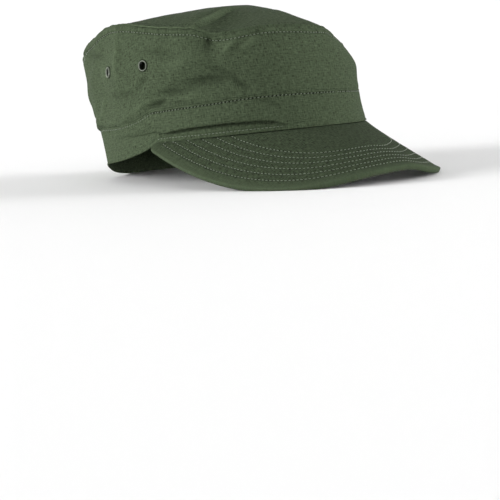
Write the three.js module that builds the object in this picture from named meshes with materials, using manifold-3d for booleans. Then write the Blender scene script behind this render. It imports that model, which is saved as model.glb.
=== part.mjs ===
// Combat cap: a soft, flat-topped field cap of ripstop cloth with a stiff, downturned visor.
//
// Millimetres, +Z up. The cap stands on the ground by itself, on the two low sides of its visor and
// on the hem at the back. The origin is on the ground in the middle of the outline. The front faces
// -Y, so the wearer's right is -X. A turn is an angle round the head in degrees: 0 at the front,
// negative on the wearer's right, 180 at the back. A rise is a distance up the cloth from the hem.

import * as THREE from 'three';
import { mergeVertices } from 'three/addons/utils/BufferGeometryUtils.js';
import Module from 'manifold-3d';

const wasm = await Module();
wasm.setup();

// Head opening, an oval at the hem.
const OPENING_HALF_LENGTH = 104.6;
const OPENING_HALF_WIDTH = 83.6;
const OPENING_CENTRE_Y = 26.7;

// Thicknesses and the clearance between sewn pieces.
const CLOTH = 1.2;
const BAND_THICK = 2;
const VISOR_THICK = 3;
const GAP = 0.3;
const SEAM_CLEARANCE = 0.6;

// Visor: a board bent over the forehead and tilted down, with a rounded outline. It ends where the
// hem drops away to the ground.
const VISOR_END_TURN = 76.5;
const VISOR_ROOT_HEIGHT = 37.2;
const VISOR_TILT = 20.7;
const VISOR_BEND_RADIUS = 102;
const VISOR_LENGTH = 73;
const VISOR_HALF_WIDTH = 89.9;
const VISOR_WIDEST_Y = -28;
const VISOR_SQUARENESS = 2.35;
const VISOR_TUCK = 1.6;
const VISOR_ROOT_MARGIN = 4.5;
const VISOR_END_HOLD = 8;
const VISOR_EDGE_BEAD = 1.1;

// Top seam, an oval that leans back behind the head opening.
const SEAM_HALF_LENGTH = 104.8;
const SEAM_HALF_WIDTH = 79.4;
const SEAM_BACK = 18.9;
const SEAM_SHIFT_X = -4;
const SEAM_SQUARENESS = 2.07;

// Top panel: the height of its crown and how full it is towards the seam.
const PANEL_HEIGHT = 119.7;
const PANEL_FULLNESS = 2.34;

// Eyelets: pressed rings through the side wall.
const EYELET_RADIUS = 4.3;
const EYELET_HOLE_RADIUS = 2.9;
const EYELET_BARREL_RADIUS = 3.3;
const EYELET_FLANGE = 0.8;
const EYELET_STAND_OFF = 0.45;
const EYELET_DEPTH = 1.6;
const EYELET_SIDES = 14;

// Mesh fineness.
const COLUMNS = 80;
const CROWN_ROWS = 12;
const PANEL_RINGS = 7;
const VISOR_COLUMNS = 32;
const VISOR_ROWS = 7;

const FULL_TURN = 360;
const OLIVE = 0x4a5a43;
const OLIVE_BAND = 0x485840;
const OLIVE_VISOR = 0x3f4c38;
const EYELET_GREEN = 0x2c332a;

// The hem's height, a row for each section round the head: along the visor's joint in front, then
// down to the ground behind, where the cloth that would hang lower is flattened.
const HEM_HEIGHTS = [
  { turn: -180, height: -0.6 },
  { turn: -165, height: -0.2 },
  { turn: -150, height: 2.8 },
  { turn: -128, height: 11.1 },
  { turn: -107, height: 15.6 },
  { turn: -98, height: 18.1 },
  { turn: -92, height: 20.6 },
  { turn: -86.5, height: 23.2 },
  { turn: -81.5, height: 26.5 },
  { turn: -77, height: 29.9 },
  { turn: -73, height: 30.8 },
  { turn: -65, height: 31.8 },
  { turn: -56, height: 32.7 },
  { turn: -40, height: 34.4 },
  { turn: -22, height: 35.6 },
  { turn: -3, height: 36.1 },
  { turn: 9, height: 35.9 },
  { turn: 28, height: 35.1 },
  { turn: 45, height: 34.2 },
  { turn: 60, height: 32.9 },
  { turn: 73, height: 31 },
  { turn: 77, height: 29.5 },
  { turn: 86.5, height: 22.7 },
  { turn: 98, height: 17.2 },
  { turn: 128, height: 9.6 },
  { turn: 150, height: 2.8 },
  { turn: 165, height: -0.2 },
];

// The band's height above the hem.
const BAND_HEIGHTS = [
  { turn: -180, height: 26 },
  { turn: -118, height: 25.5 },
  { turn: -93, height: 22.8 },
  { turn: -75, height: 22.2 },
  { turn: -53, height: 23.6 },
  { turn: -28, height: 25.2 },
  { turn: 0, height: 24.4 },
  { turn: 30, height: 23.4 },
  { turn: 90, height: 23 },
  { turn: 130, height: 25 },
];

// The top seam's height. It sags behind the wearer's right temple, dips where the front corner is
// pinched, and has slumped over the left temple.
const SEAM_HEIGHTS = [
  { turn: -180, height: 87.7 },
  { turn: -150, height: 87.6 },
  { turn: -135, height: 88.5 },
  { turn: -125, height: 91.6 },
  { turn: -114, height: 97.1 },
  { turn: -104, height: 102.4 },
  { turn: -97, height: 107.3 },
  { turn: -90, height: 110 },
  { turn: -82, height: 110.2 },
  { turn: -74, height: 108.9 },
  { turn: -64, height: 107.1 },
  { turn: -55, height: 106.3 },
  { turn: -50, height: 105.6 },
  { turn: -46, height: 103.5 },
  { turn: -42, height: 101.4 },
  { turn: -36, height: 101.4 },
  { turn: -29, height: 102.8 },
  { turn: -19, height: 104.4 },
  { turn: -10, height: 104.1 },
  { turn: 4, height: 102.6 },
  { turn: 15, height: 101 },
  { turn: 22, height: 97.6 },
  { turn: 32, height: 93.1 },
  { turn: 45, height: 90.4 },
  { turn: 60, height: 92.2 },
  { turn: 75, height: 97.6 },
  { turn: 90, height: 99.1 },
  { turn: 115, height: 91.6 },
  { turn: 135, height: 88.5 },
  { turn: 155, height: 87.7 },
];

// How far the side wall stands out from a straight line between hem and top seam, at 35%, 70% and
// 90% of the way up.
const WALL_BULGES = [
  { turn: -180, low: -0.8, middle: 3, high: 2.9 },
  { turn: -90, low: 1.2, middle: 3.1, high: 1.3 },
  { turn: 0, low: 2.7, middle: 5.9, high: 3.9 },
  { turn: 90, low: 1.2, middle: 3.1, high: 1.3 },
];

// Folds, ridges and dents of the side wall. Turn and rise give the middle, lean is the angle of the
// fold above level, and out is how far it stands out, or is pushed in if negative.
const WALL_FOLDS = [
  { name: 'corner behind the right temple', turn: -89, rise: 60, length: 60, width: 14, lean: 86, out: 2.6 },
  { name: 'dent behind that corner', turn: -104, rise: 48, length: 40, width: 20, lean: 80, out: -2.4 },
  { name: 'ridge over the band', turn: -85, rise: 30, length: 44, width: 6, lean: 9, out: 1.7 },
  { name: 'crease under that ridge', turn: -73, rise: 26, length: 24, width: 5, lean: 4, out: -1.9 },
  { name: 'short crease above it', turn: -64, rise: 33, length: 20, width: 6, lean: 8, out: -1.4 },
  { name: 'hollow of the temple', turn: -46, rise: 40, length: 42, width: 14, lean: 4, out: -1.8 },
  { name: 'ridge above the hollow', turn: -50, rise: 52, length: 40, width: 10, lean: -8, out: 1 },
  { name: 'dent near the right eyelet', turn: -65, rise: 59, length: 18, width: 9, lean: 0, out: -1 },
  { name: 'soft drop to the band', turn: -35, rise: 33, length: 26, width: 9, lean: -30, out: -1 },
  { name: 'pinch, rear ridge', turn: -35, rise: 61, length: 17, width: 4.5, lean: 45, out: 1.2 },
  { name: 'pinch, front ridge', turn: -27, rise: 61, length: 14, width: 4.5, lean: 42, out: 1.1 },
  { name: 'pinch, hollow', turn: -42, rise: 64, length: 16, width: 8, lean: 20, out: -1.8 },
  { name: 'flat of the forehead', turn: 6, rise: 46, length: 44, width: 26, lean: 0, out: -0.8 },
  { name: 'slumped left corner', turn: 34, rise: 45, length: 40, width: 12, lean: -10, out: 1.8 },
  { name: 'crease under the slump', turn: 44, rise: 34, length: 36, width: 8, lean: -8, out: -1.6 },
  { name: 'left temple ridge', turn: 76, rise: 34, length: 40, width: 8, lean: -10, out: 1.4 },
  { name: 'left rear corner', turn: 102, rise: 54, length: 50, width: 16, lean: 96, out: 1.8 },
  { name: 'left rear dent', turn: 118, rise: 46, length: 36, width: 20, lean: 86, out: -2 },
  { name: 'back crease over the band', turn: 152, rise: 35, length: 60, width: 9, lean: 5, out: -1.6 },
  { name: 'back roll', turn: 170, rise: 48, length: 70, width: 14, lean: -4, out: 1.6 },
  { name: 'right back crease', turn: -142, rise: 38, length: 46, width: 9, lean: 12, out: -1.6 },
  { name: 'right back roll', turn: -136, rise: 54, length: 44, width: 16, lean: 16, out: 1.4 },
];

// How far the crown puffs out over the band's upper edge.
const FOOT_PUFFS = [
  { turn: -180, out: 1.8 },
  { turn: -110, out: 1.9 },
  { turn: -75, out: 0.8 },
  { turn: 0, out: 0.6 },
  { turn: 75, out: 0.8 },
  { turn: 110, out: 1.6 },
];
const FOOT_PUFF_START = 3;
const FOOT_PUFF_FADE = 18;

// The band buckles above the visor on the wearer's right: its upper part hangs over a flat strip.
// Rise is where the lip is, and out is how far it stands out.
const BUCKLE = [
  { turn: -102, rise: 17.5, out: 0 },
  { turn: -90, rise: 13.5, out: 0.5 },
  { turn: -79.5, rise: 9.5, out: 0.9 },
  { turn: -72, rise: 6.6, out: 1.8 },
  { turn: -68.5, rise: 7.4, out: 2.4 },
  { turn: -55.5, rise: 9.2, out: 3 },
  { turn: -38.5, rise: 9.3, out: 3 },
  { turn: -26, rise: 7.7, out: 2.2 },
  { turn: -22, rise: 5, out: 0.9 },
  { turn: -18, rise: 2.5, out: 0 },
];
const BUCKLE_STEP = 1.5;
const BUCKLE_FADE = 12;
const BAND_RISES = [0, 3, 6.5, 9, 12, 18];

// Ridges and hollows of the top panel, seen from above. Heading is the angle of the fold from +X.
const PANEL_FOLDS = [
  { name: 'long ridge from the right temple', x: -32, y: -27, length: 92, width: 9, heading: 30, up: 3 },
  { name: 'hollow in front of it', x: -30, y: -50, length: 56, width: 20, heading: 26, up: -2.8 },
  { name: 'hollow behind it', x: -27, y: 36, length: 90, width: 32, heading: 20, up: -4 },
  { name: 'flat of the crown', x: -8, y: -10, length: 56, width: 22, heading: 20, up: -2 },
  { name: 'flat behind the right temple', x: -57, y: 25, length: 60, width: 22, heading: 0, up: -1.4 },
  { name: 'roll by the slumped corner', x: 47, y: -25, length: 56, width: 18, heading: 52, up: 2.4 },
  { name: 'dip inside that roll', x: 41, y: -29, length: 44, width: 9, heading: 52, up: -3.1 },
  { name: 'swell inside the dip', x: 23, y: -13, length: 40, width: 14, heading: 55, up: 0.7 },
  { name: 'swell over the back', x: 8, y: 89, length: 80, width: 34, heading: 0, up: 1.2 },
];
const PANEL_FOLD_MARGIN = 0.1;

const EYELETS = [
  { name: 'eyelet_right_front', turn: -76, rise: 53.8 },
  { name: 'eyelet_right_rear', turn: -95.8, rise: 60.8 },
  { name: 'eyelet_left_front', turn: 75.5, rise: 50 },
  { name: 'eyelet_left_rear', turn: 96.5, rise: 55 },
];

const sin = (degrees) => Math.sin(THREE.MathUtils.degToRad(degrees));
const cos = (degrees) => Math.cos(THREE.MathUtils.degToRad(degrees));
const hill = (distance, width) => Math.exp(-4 * (distance / width) ** 2);
const nearestTurn = (turn) => turn - FULL_TURN * Math.round(turn / FULL_TURN);
const rounded = (value, squareness) => Math.sign(value) * Math.abs(value) ** (2 / squareness);

// A smooth curve through one column of a table, by the value of another column. A table that goes
// round the head wraps from its last row to its first.
function through(rows, key, column, at, wraps = false) {
  const row = (index) => {
    const lap = wraps ? Math.floor(index / rows.length) : 0;
    const kept = wraps ? index - lap * rows.length : Math.min(Math.max(index, 0), rows.length - 1);
    return { at: rows[kept][key] + lap * FULL_TURN, value: rows[kept][column] };
  };
  if (!wraps && at <= rows[0][key]) return rows[0][column];
  if (!wraps && at >= rows[rows.length - 1][key]) return rows[rows.length - 1][column];
  let index = 0;
  while (row(index + 1).at <= at) index += 1;
  while (row(index).at > at) index -= 1;
  const [before, start, end, after] = [-1, 0, 1, 2].map((step) => row(index + step));
  const slope = (from, to) => (to.at === from.at ? 0 : (to.value - from.value) / (to.at - from.at));
  const width = end.at - start.at;
  const t = (at - start.at) / width;
  const startRise = slope(before, end) * width;
  const endRise = slope(start, after) * width;
  return start.value * (1 + 2 * t) * (1 - t) ** 2 + startRise * t * (1 - t) ** 2
    + end.value * t ** 2 * (3 - 2 * t) - endRise * t ** 2 * (1 - t);
}

// The visor's plain curve, before it is pulled up or down to meet the hem.
function visorCurve(x, y) {
  const forward = y + OPENING_HALF_LENGTH;
  return VISOR_ROOT_HEIGHT + forward * Math.tan(THREE.MathUtils.degToRad(VISOR_TILT))
    - x ** 2 / (2 * VISOR_BEND_RADIUS);
}

// The hem: along the visor's joint in front, then down to the ground behind.
function hemPoint(turn) {
  const height = through(HEM_HEIGHTS, 'turn', 'height', turn, true);
  return new THREE.Vector3(OPENING_HALF_WIDTH * sin(turn), -OPENING_HALF_LENGTH * cos(turn), height);
}

// How far the hem lies above the visor's plain curve.
function jointLift(turn) {
  const hem = hemPoint(turn);
  return hem.z - visorCurve(hem.x, hem.y);
}

const bandHeight = (turn) => through(BAND_HEIGHTS, 'turn', 'height', turn, true);

// The top seam, where the side wall meets the top panel.
function seamPoint(turn) {
  const x = SEAM_SHIFT_X + SEAM_HALF_WIDTH * rounded(sin(turn), SEAM_SQUARENESS);
  const y = SEAM_BACK - SEAM_HALF_LENGTH * rounded(cos(turn), SEAM_SQUARENESS);
  return new THREE.Vector3(x, y, through(SEAM_HEIGHTS, 'turn', 'height', turn, true));
}

function outward(turn) {
  return new THREE.Vector3(OPENING_HALF_LENGTH * sin(turn), -OPENING_HALF_WIDTH * cos(turn), 0)
    .normalize();
}

const wallHeight = (turn) => hemPoint(turn).distanceTo(seamPoint(turn));

// How far the unfolded wall stands out at a rise.
function bulge(turn, part) {
  const at = (column) => through(WALL_BULGES, 'turn', column, turn, true);
  const profile = [
    { part: 0, out: 0 },
    { part: 0.35, out: at('low') },
    { part: 0.7, out: at('middle') },
    { part: 0.9, out: at('high') },
    { part: 1, out: 0 },
  ];
  return through(profile, 'part', 'out', part);
}

// The length of the oval round the head for each degree of turn.
function arcPerDegree(turn) {
  return THREE.MathUtils.degToRad(Math.hypot(OPENING_HALF_WIDTH * cos(turn),
    OPENING_HALF_LENGTH * sin(turn)));
}

// How far a table's folds stand out at a place on the wall.
function wallFolds(turn, rise) {
  return WALL_FOLDS.reduce((sum, fold) => {
    const across = nearestTurn(turn - fold.turn) * arcPerDegree(fold.turn);
    const up = rise - fold.rise;
    const along = across * cos(fold.lean) + up * sin(fold.lean);
    const aside = up * cos(fold.lean) - across * sin(fold.lean);
    return sum + fold.out * hill(along, fold.length) * hill(aside, fold.width * 2);
  }, 0);
}

// The crown's puff above the band's upper edge.
function footPuff(turn, rise) {
  const above = rise - bandHeight(turn);
  const out = through(FOOT_PUFFS, 'turn', 'out', turn, true);
  if (above <= 0) return 0;
  return out * THREE.MathUtils.smoothstep(above, 0, FOOT_PUFF_START) * hill(above, 2 * FOOT_PUFF_FADE);
}

// The band's overhanging lip above the visor.
function buckle(turn, rise) {
  const side = nearestTurn(turn);
  const out = through(BUCKLE, 'turn', 'out', side);
  const lip = through(BUCKLE, 'turn', 'rise', side);
  if (rise < lip) return out * THREE.MathUtils.smoothstep(rise, lip - BUCKLE_STEP, lip);
  return out * hill(rise - lip, 2 * BUCKLE_FADE);
}

// A point of the side wall, from the hem to the top seam.
function wallPoint(turn, rise, displaced) {
  const part = rise / wallHeight(turn);
  const out = bulge(turn, part) + displaced;
  return hemPoint(turn).lerp(seamPoint(turn), part).addScaledVector(outward(turn), out);
}

function crownPoint(turn, rise) {
  const foot = bandHeight(turn);
  const above = THREE.MathUtils.smoothstep(rise, foot, foot + FOOT_PUFF_START);
  const below = 1 - THREE.MathUtils.smoothstep(rise, wallHeight(turn) - FOOT_PUFF_START, wallHeight(turn));
  return wallPoint(turn, rise, footPuff(turn, rise) + wallFolds(turn, rise) * above * below);
}

const bandPoint = (turn, rise) => wallPoint(turn, rise, buckle(turn, rise));

// Nothing reaches below the ground: the cloth is flattened where it rests.
function settle(point) {
  const height = Math.max(point.z, 0);
  return new THREE.Vector3(point.x, point.y + OPENING_CENTRE_Y, height);
}

// A closed mesh from its corners and triangles, with its faces turned outwards.
function closedMesh(points, triangles) {
  const volume = triangles.reduce((sum, [a, b, c]) => {
    const cross = new THREE.Vector3().crossVectors(points[b], points[c]);
    return sum + points[a].dot(cross);
  }, 0);
  const outwards = volume > 0 ? triangles : triangles.map(([a, b, c]) => [a, c, b]);
  const geometry = new THREE.BufferGeometry();
  geometry.setAttribute('position', new THREE.Float32BufferAttribute(
    points.flatMap((point) => point.toArray()), 3));
  geometry.setIndex(outwards.flat());
  return geometry;
}

// A skin stretched over closed loops of the same number of points. A ring of loops joins its last
// loop to its first, and an open row of loops is closed across each end.
function loft(loops, isRing) {
  const size = loops[0].length;
  const triangles = [];
  const spans = isRing ? loops.length : loops.length - 1;
  for (let i = 0; i < spans; i += 1) {
    const here = i * size;
    const next = ((i + 1) % loops.length) * size;
    for (let j = 0; j < size; j += 1) {
      const k = (j + 1) % size;
      triangles.push([here + j, next + j, next + k], [here + j, next + k, here + k]);
    }
  }
  if (!isRing) {
    const last = (loops.length - 1) * size;
    for (let low = 0, high = size - 1; high - low > 1;) {
      triangles.push([low, low + 1, high], [last + low, last + high, last + low + 1]);
      low += 1;
      if (high - low > 1) {
        triangles.push([low, high - 1, high], [last + low, last + high, last + high - 1]);
        high -= 1;
      }
    }
  }
  return closedMesh(loops.flat(), triangles);
}

// A skin over a stack of rings that is closed by a single point at each end.
function stack(first, rings, final) {
  const size = rings[0].length;
  const points = [first, ...rings.flat(), final];
  const end = points.length - 1;
  const lastRing = end - size;
  const triangles = [];
  for (let j = 0; j < size; j += 1) {
    const k = (j + 1) % size;
    triangles.push([0, 1 + k, 1 + j], [end, lastRing + j, lastRing + k]);
    for (let ring = 0; ring < rings.length - 1; ring += 1) {
      const low = 1 + ring * size;
      const high = low + size;
      triangles.push([low + j, low + k, high + k], [low + j, high + k, high + j]);
    }
  }
  return closedMesh(points, triangles);
}

const turns = Array.from({ length: COLUMNS }, (_, i) => -FULL_TURN / 2 + (FULL_TURN * i) / COLUMNS);
const steps = (count) => Array.from({ length: count + 1 }, (_, i) => i / count);

// The outward normal of a surface given by a turn and a rise.
function surfaceNormal(surface, turn, rise) {
  const reach = 0.5;
  const along = surface(turn + reach, rise).sub(surface(turn - reach, rise));
  const up = surface(turn, rise + reach).sub(surface(turn, rise - reach));
  return along.cross(up).normalize();
}

// A cloth wall round the head, from one rise to another, its thickness inwards.
function clothRing(surface, risesAt, thickness, levelHem) {
  const loops = turns.map((turn) => {
    const rises = risesAt(turn);
    const outer = rises.map((rise) => surface(turn, rise));
    const inner = rises.map((rise, i) => {
      const isHem = levelHem && i === 0;
      const inwards = isHem ? outward(turn) : surfaceNormal(surface, turn, rise);
      return outer[i].clone().addScaledVector(inwards, -thickness);
    });
    return [...outer, ...inner.reverse()].map(settle);
  });
  return loft(loops, true);
}

function crownSideGeometry() {
  const risesAt = (turn) => {
    const low = bandHeight(turn) + GAP;
    const high = wallHeight(turn) - CLOTH - SEAM_CLEARANCE;
    return steps(CROWN_ROWS).map((part) => low + (high - low) * part);
  };
  return clothRing(crownPoint, risesAt, CLOTH, false);
}

function headbandGeometry() {
  return clothRing(bandPoint, (turn) => [...BAND_RISES, bandHeight(turn)], BAND_THICK, true);
}

// The top panel: part is 0 in the middle and 1 at the seam.
function panelPoint(turn, part) {
  const seam = seamPoint(turn);
  const centre = new THREE.Vector3(SEAM_SHIFT_X, SEAM_BACK, 0);
  const point = centre.lerp(seam, part);
  const inside = 1 - THREE.MathUtils.smoothstep(part, 1 - PANEL_FOLD_MARGIN, 1);
  const folds = PANEL_FOLDS.reduce((sum, fold) => {
    const x = point.x - fold.x;
    const y = point.y - fold.y;
    const along = x * cos(fold.heading) + y * sin(fold.heading);
    const aside = y * cos(fold.heading) - x * sin(fold.heading);
    return sum + fold.up * hill(along, fold.length) * hill(aside, fold.width * 2);
  }, 0);
  point.z = PANEL_HEIGHT + (seam.z - PANEL_HEIGHT) * part ** PANEL_FULLNESS + folds * inside;
  return point;
}

function crownTopGeometry() {
  const parts = steps(PANEL_RINGS).slice(1).map((part) => 1 - (1 - part) ** 1.25);
  const under = (turn, part) => {
    const reach = 0.01;
    const along = panelPoint(turn + 1, part).sub(panelPoint(turn - 1, part));
    const outwards = panelPoint(turn, part + reach).sub(panelPoint(turn, part - reach));
    const normal = outwards.cross(along).normalize();
    return panelPoint(turn, part).addScaledVector(normal, -CLOTH);
  };
  const top = parts.map((part) => turns.map((turn) => settle(panelPoint(turn, part))));
  const bottom = parts.map((part) => turns.map((turn) => settle(under(turn, part)))).reverse();
  const peak = settle(panelPoint(0, 0));
  const beneath = peak.clone().setZ(peak.z - CLOTH);
  return stack(peak, [...top, ...bottom], beneath);
}

// The visor's outline: a rounded curve that goes on past its widest point to meet the hem.
function visorEdgePoint(side) {
  const end = hemPoint(VISOR_END_TURN);
  const tip = -(OPENING_HALF_LENGTH + VISOR_LENGTH);
  const past = THREE.MathUtils.radToDeg(Math.acos((end.x / VISOR_HALF_WIDTH) ** (VISOR_SQUARENESS / 2)));
  const rear = (end.y - VISOR_WIDEST_Y) / rounded(sin(past), VISOR_SQUARENESS);
  const angle = side * (90 + past);
  const x = VISOR_HALF_WIDTH * rounded(sin(angle), VISOR_SQUARENESS);
  const reach = cos(angle) > 0 ? VISOR_WIDEST_Y - tip : rear;
  const y = VISOR_WIDEST_Y - reach * rounded(cos(angle), VISOR_SQUARENESS);
  return new THREE.Vector3(x, y, 0);
}

// The visor's upper face: side is -1 at the wearer's right end and 1 at the left end, and part is 0
// at the root under the band and 1 at the edge.
function visorPoint(side, part) {
  const root = hemPoint(side * (VISOR_END_TURN - VISOR_ROOT_MARGIN));
  const point = root.clone().lerp(visorEdgePoint(side), part);
  const lift = jointLift(side * (VISOR_END_TURN - VISOR_ROOT_MARGIN * (1 - part)));
  const hold = Math.abs(side) ** VISOR_END_HOLD;
  point.z = visorCurve(point.x, point.y) + lift * (hold + (1 - hold) * (1 - part) ** 2) - GAP;
  return point;
}

function visorGeometry() {
  const normalAt = (side, part) => {
    const reach = 0.01;
    const from = THREE.MathUtils.clamp(side, -1 + reach, 1 - reach);
    const at = Math.min(part, 1 - reach);
    const along = visorPoint(from + reach, at).sub(visorPoint(from - reach, at));
    const outwards = visorPoint(from, at + reach).sub(visorPoint(from, at));
    return outwards.cross(along).normalize();
  };
  const loops = Array.from({ length: VISOR_COLUMNS + 1 }, (_, i) => {
    const side = (2 * i) / VISOR_COLUMNS - 1;
    const turn = side * (VISOR_END_TURN - VISOR_ROOT_MARGIN);
    const top = steps(VISOR_ROWS).map((part) => visorPoint(side, part));
    const bottom = steps(VISOR_ROWS).map((part, row) => (
      top[row].clone().addScaledVector(normalAt(side, part), -VISOR_THICK)));
    const tuck = outward(turn).multiplyScalar(-VISOR_TUCK);
    const rootTop = top[0].clone().add(tuck);
    const rootBottom = bottom[0].clone().add(tuck);
    const edge = top[VISOR_ROWS].clone().lerp(bottom[VISOR_ROWS], 0.5);
    const beyond = top[VISOR_ROWS].clone().sub(top[VISOR_ROWS - 1]).normalize();
    edge.addScaledVector(beyond, VISOR_EDGE_BEAD);
    return [rootTop, ...top, edge, ...bottom.reverse(), rootBottom].map(settle);
  });
  return loft(loops, false);
}

// Where an eyelet sits: on the cloth, with its Z axis along the cloth's outward normal.
function eyeletPlace({ turn, rise }) {
  const place = new THREE.Object3D();
  place.position.copy(settle(crownPoint(turn, rise)));
  place.quaternion.setFromUnitVectors(new THREE.Vector3(0, 0, 1), surfaceNormal(crownPoint, turn, rise));
  place.updateMatrixWorld();
  return place;
}

function eyeletGeometry() {
  const profile = [
    [EYELET_HOLE_RADIUS, -EYELET_DEPTH],
    [EYELET_BARREL_RADIUS, -EYELET_DEPTH],
    [EYELET_BARREL_RADIUS, EYELET_STAND_OFF],
    [EYELET_RADIUS, EYELET_STAND_OFF],
    [(EYELET_RADIUS + EYELET_HOLE_RADIUS) / 2, EYELET_STAND_OFF + EYELET_FLANGE],
    [EYELET_HOLE_RADIUS, EYELET_STAND_OFF + EYELET_FLANGE / 2],
  ].map(([radius, height]) => new THREE.Vector3(radius, 0, height));
  const loops = Array.from({ length: EYELET_SIDES }, (_, i) => profile.map((point) => (
    point.clone().applyAxisAngle(new THREE.Vector3(0, 0, 1), (2 * Math.PI * i) / EYELET_SIDES))));
  return loft(loops, true);
}

function toSolid(geometry) {
  const bare = geometry.clone();
  bare.deleteAttribute('normal');
  bare.deleteAttribute('uv');
  const merged = mergeVertices(bare);
  return new wasm.Manifold(new wasm.Mesh({
    numProp: 3,
    vertProperties: new Float32Array(merged.attributes.position.array),
    triVerts: new Uint32Array(merged.index.array),
  }));
}

function toGeometry(solid) {
  const mesh = solid.getMesh();
  const geometry = new THREE.BufferGeometry();
  geometry.setAttribute('position', new THREE.BufferAttribute(new Float32Array(mesh.vertProperties), 3));
  geometry.setIndex(new THREE.BufferAttribute(new Uint32Array(mesh.triVerts), 1));
  return geometry;
}

// The eyelet's hole through the cloth, a little wider than the barrel.
function eyeletHole(eyelet) {
  const drill = new THREE.CylinderGeometry(EYELET_BARREL_RADIUS + GAP, EYELET_BARREL_RADIUS + GAP,
    4 * EYELET_DEPTH, EYELET_SIDES);
  drill.rotateX(Math.PI / 2);
  drill.applyMatrix4(eyeletPlace(eyelet).matrixWorld);
  return toSolid(drill);
}

function addMesh(group, name, geometry, colour, roughness, metalness) {
  const material = new THREE.MeshStandardMaterial({ color: colour, roughness, metalness });
  const mesh = new THREE.Mesh(geometry, material);
  mesh.name = name;
  geometry.computeVertexNormals();
  group.add(mesh);
  return mesh;
}

function buildCap() {
  const cap = new THREE.Group();
  const pierced = EYELETS.reduce((solid, eyelet) => solid.subtract(eyeletHole(eyelet)),
    toSolid(crownSideGeometry()));
  addMesh(cap, 'crown_side', toGeometry(pierced), OLIVE, 0.9, 0);
  addMesh(cap, 'crown_top', crownTopGeometry(), OLIVE, 0.9, 0);
  addMesh(cap, 'headband', headbandGeometry(), OLIVE_BAND, 0.9, 0);
  addMesh(cap, 'visor', visorGeometry(), OLIVE_VISOR, 0.88, 0);
  EYELETS.forEach((eyelet) => {
    const ring = addMesh(cap, eyelet.name, eyeletGeometry(), EYELET_GREEN, 0.45, 0.4);
    const place = eyeletPlace(eyelet);
    ring.position.copy(place.position);
    ring.quaternion.copy(place.quaternion);
  });
  return cap;
}

export default buildCap();
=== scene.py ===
# %% [markdown]
# # A soft field cap in ripstop cloth
#
# The cap has a crown side and a top panel of one layer of cloth, a band of two layers round the head
# opening, a visor of board between two layers, and two small vent eyelets on each side. This lesson
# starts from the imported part, whose solids give every piece its place, and makes each piece again
# with fine folds, seams, stitches and cloth.

import math

import bpy
import numpy as np
from mathutils import Matrix, Vector, noise
from mathutils.bvhtree import BVHTree


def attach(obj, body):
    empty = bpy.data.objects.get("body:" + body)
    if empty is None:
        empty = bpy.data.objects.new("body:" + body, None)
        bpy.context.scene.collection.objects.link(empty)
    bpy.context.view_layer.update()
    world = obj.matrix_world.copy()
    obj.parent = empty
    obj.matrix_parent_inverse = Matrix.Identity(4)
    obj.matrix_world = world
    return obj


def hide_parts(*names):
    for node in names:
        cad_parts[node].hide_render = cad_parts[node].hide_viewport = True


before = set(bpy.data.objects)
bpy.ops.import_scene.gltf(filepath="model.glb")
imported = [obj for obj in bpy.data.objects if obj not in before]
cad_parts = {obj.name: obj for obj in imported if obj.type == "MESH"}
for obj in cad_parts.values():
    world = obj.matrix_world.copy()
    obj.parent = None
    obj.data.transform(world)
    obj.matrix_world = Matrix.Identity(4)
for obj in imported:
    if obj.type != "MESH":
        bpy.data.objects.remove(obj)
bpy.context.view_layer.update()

# %% [markdown]
# ## The cap's own measures
#
# A cap is drafted like any garment, from a few measures round the head. The head opening is an oval.
# A turn is an angle round that oval in degrees, 0 at the front and negative on the wearer's right. A
# rise is a distance up the cloth from the hem. Everything is thought out in millimetres, as a
# pattern cutter would, and is turned into metres at the very end. These are the same measures and
# tables as in the part's own source, so each piece lies where its solid is.

# %% Measures of the opening, visor and seam, in millimetres
OPENING_HALF_LENGTH, OPENING_HALF_WIDTH, OPENING_CENTRE_Y = 104.6, 83.6, 26.7
CLOTH, BAND_THICK, VISOR_THICK = 1.2, 2.0, 3.0
VISOR_END_TURN, VISOR_ROOT_HEIGHT, VISOR_TILT, VISOR_BEND_RADIUS = 76.5, 37.2, 20.7, 102
VISOR_LENGTH, VISOR_HALF_WIDTH, VISOR_WIDEST_Y, VISOR_SQUARENESS = 73, 89.9, -28, 2.35
VISOR_ROOT_MARGIN, VISOR_END_HOLD = 4.5, 8
SEAM_HALF_LENGTH, SEAM_HALF_WIDTH, SEAM_BACK, SEAM_SHIFT_X, SEAM_SQUARENESS = 104.8, 79.4, 18.9, -4, 2.07
PANEL_HEIGHT, PANEL_FULLNESS = 119.7, 2.34
MILLIMETRE = 0.001
FULL_TURN = 360

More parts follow.
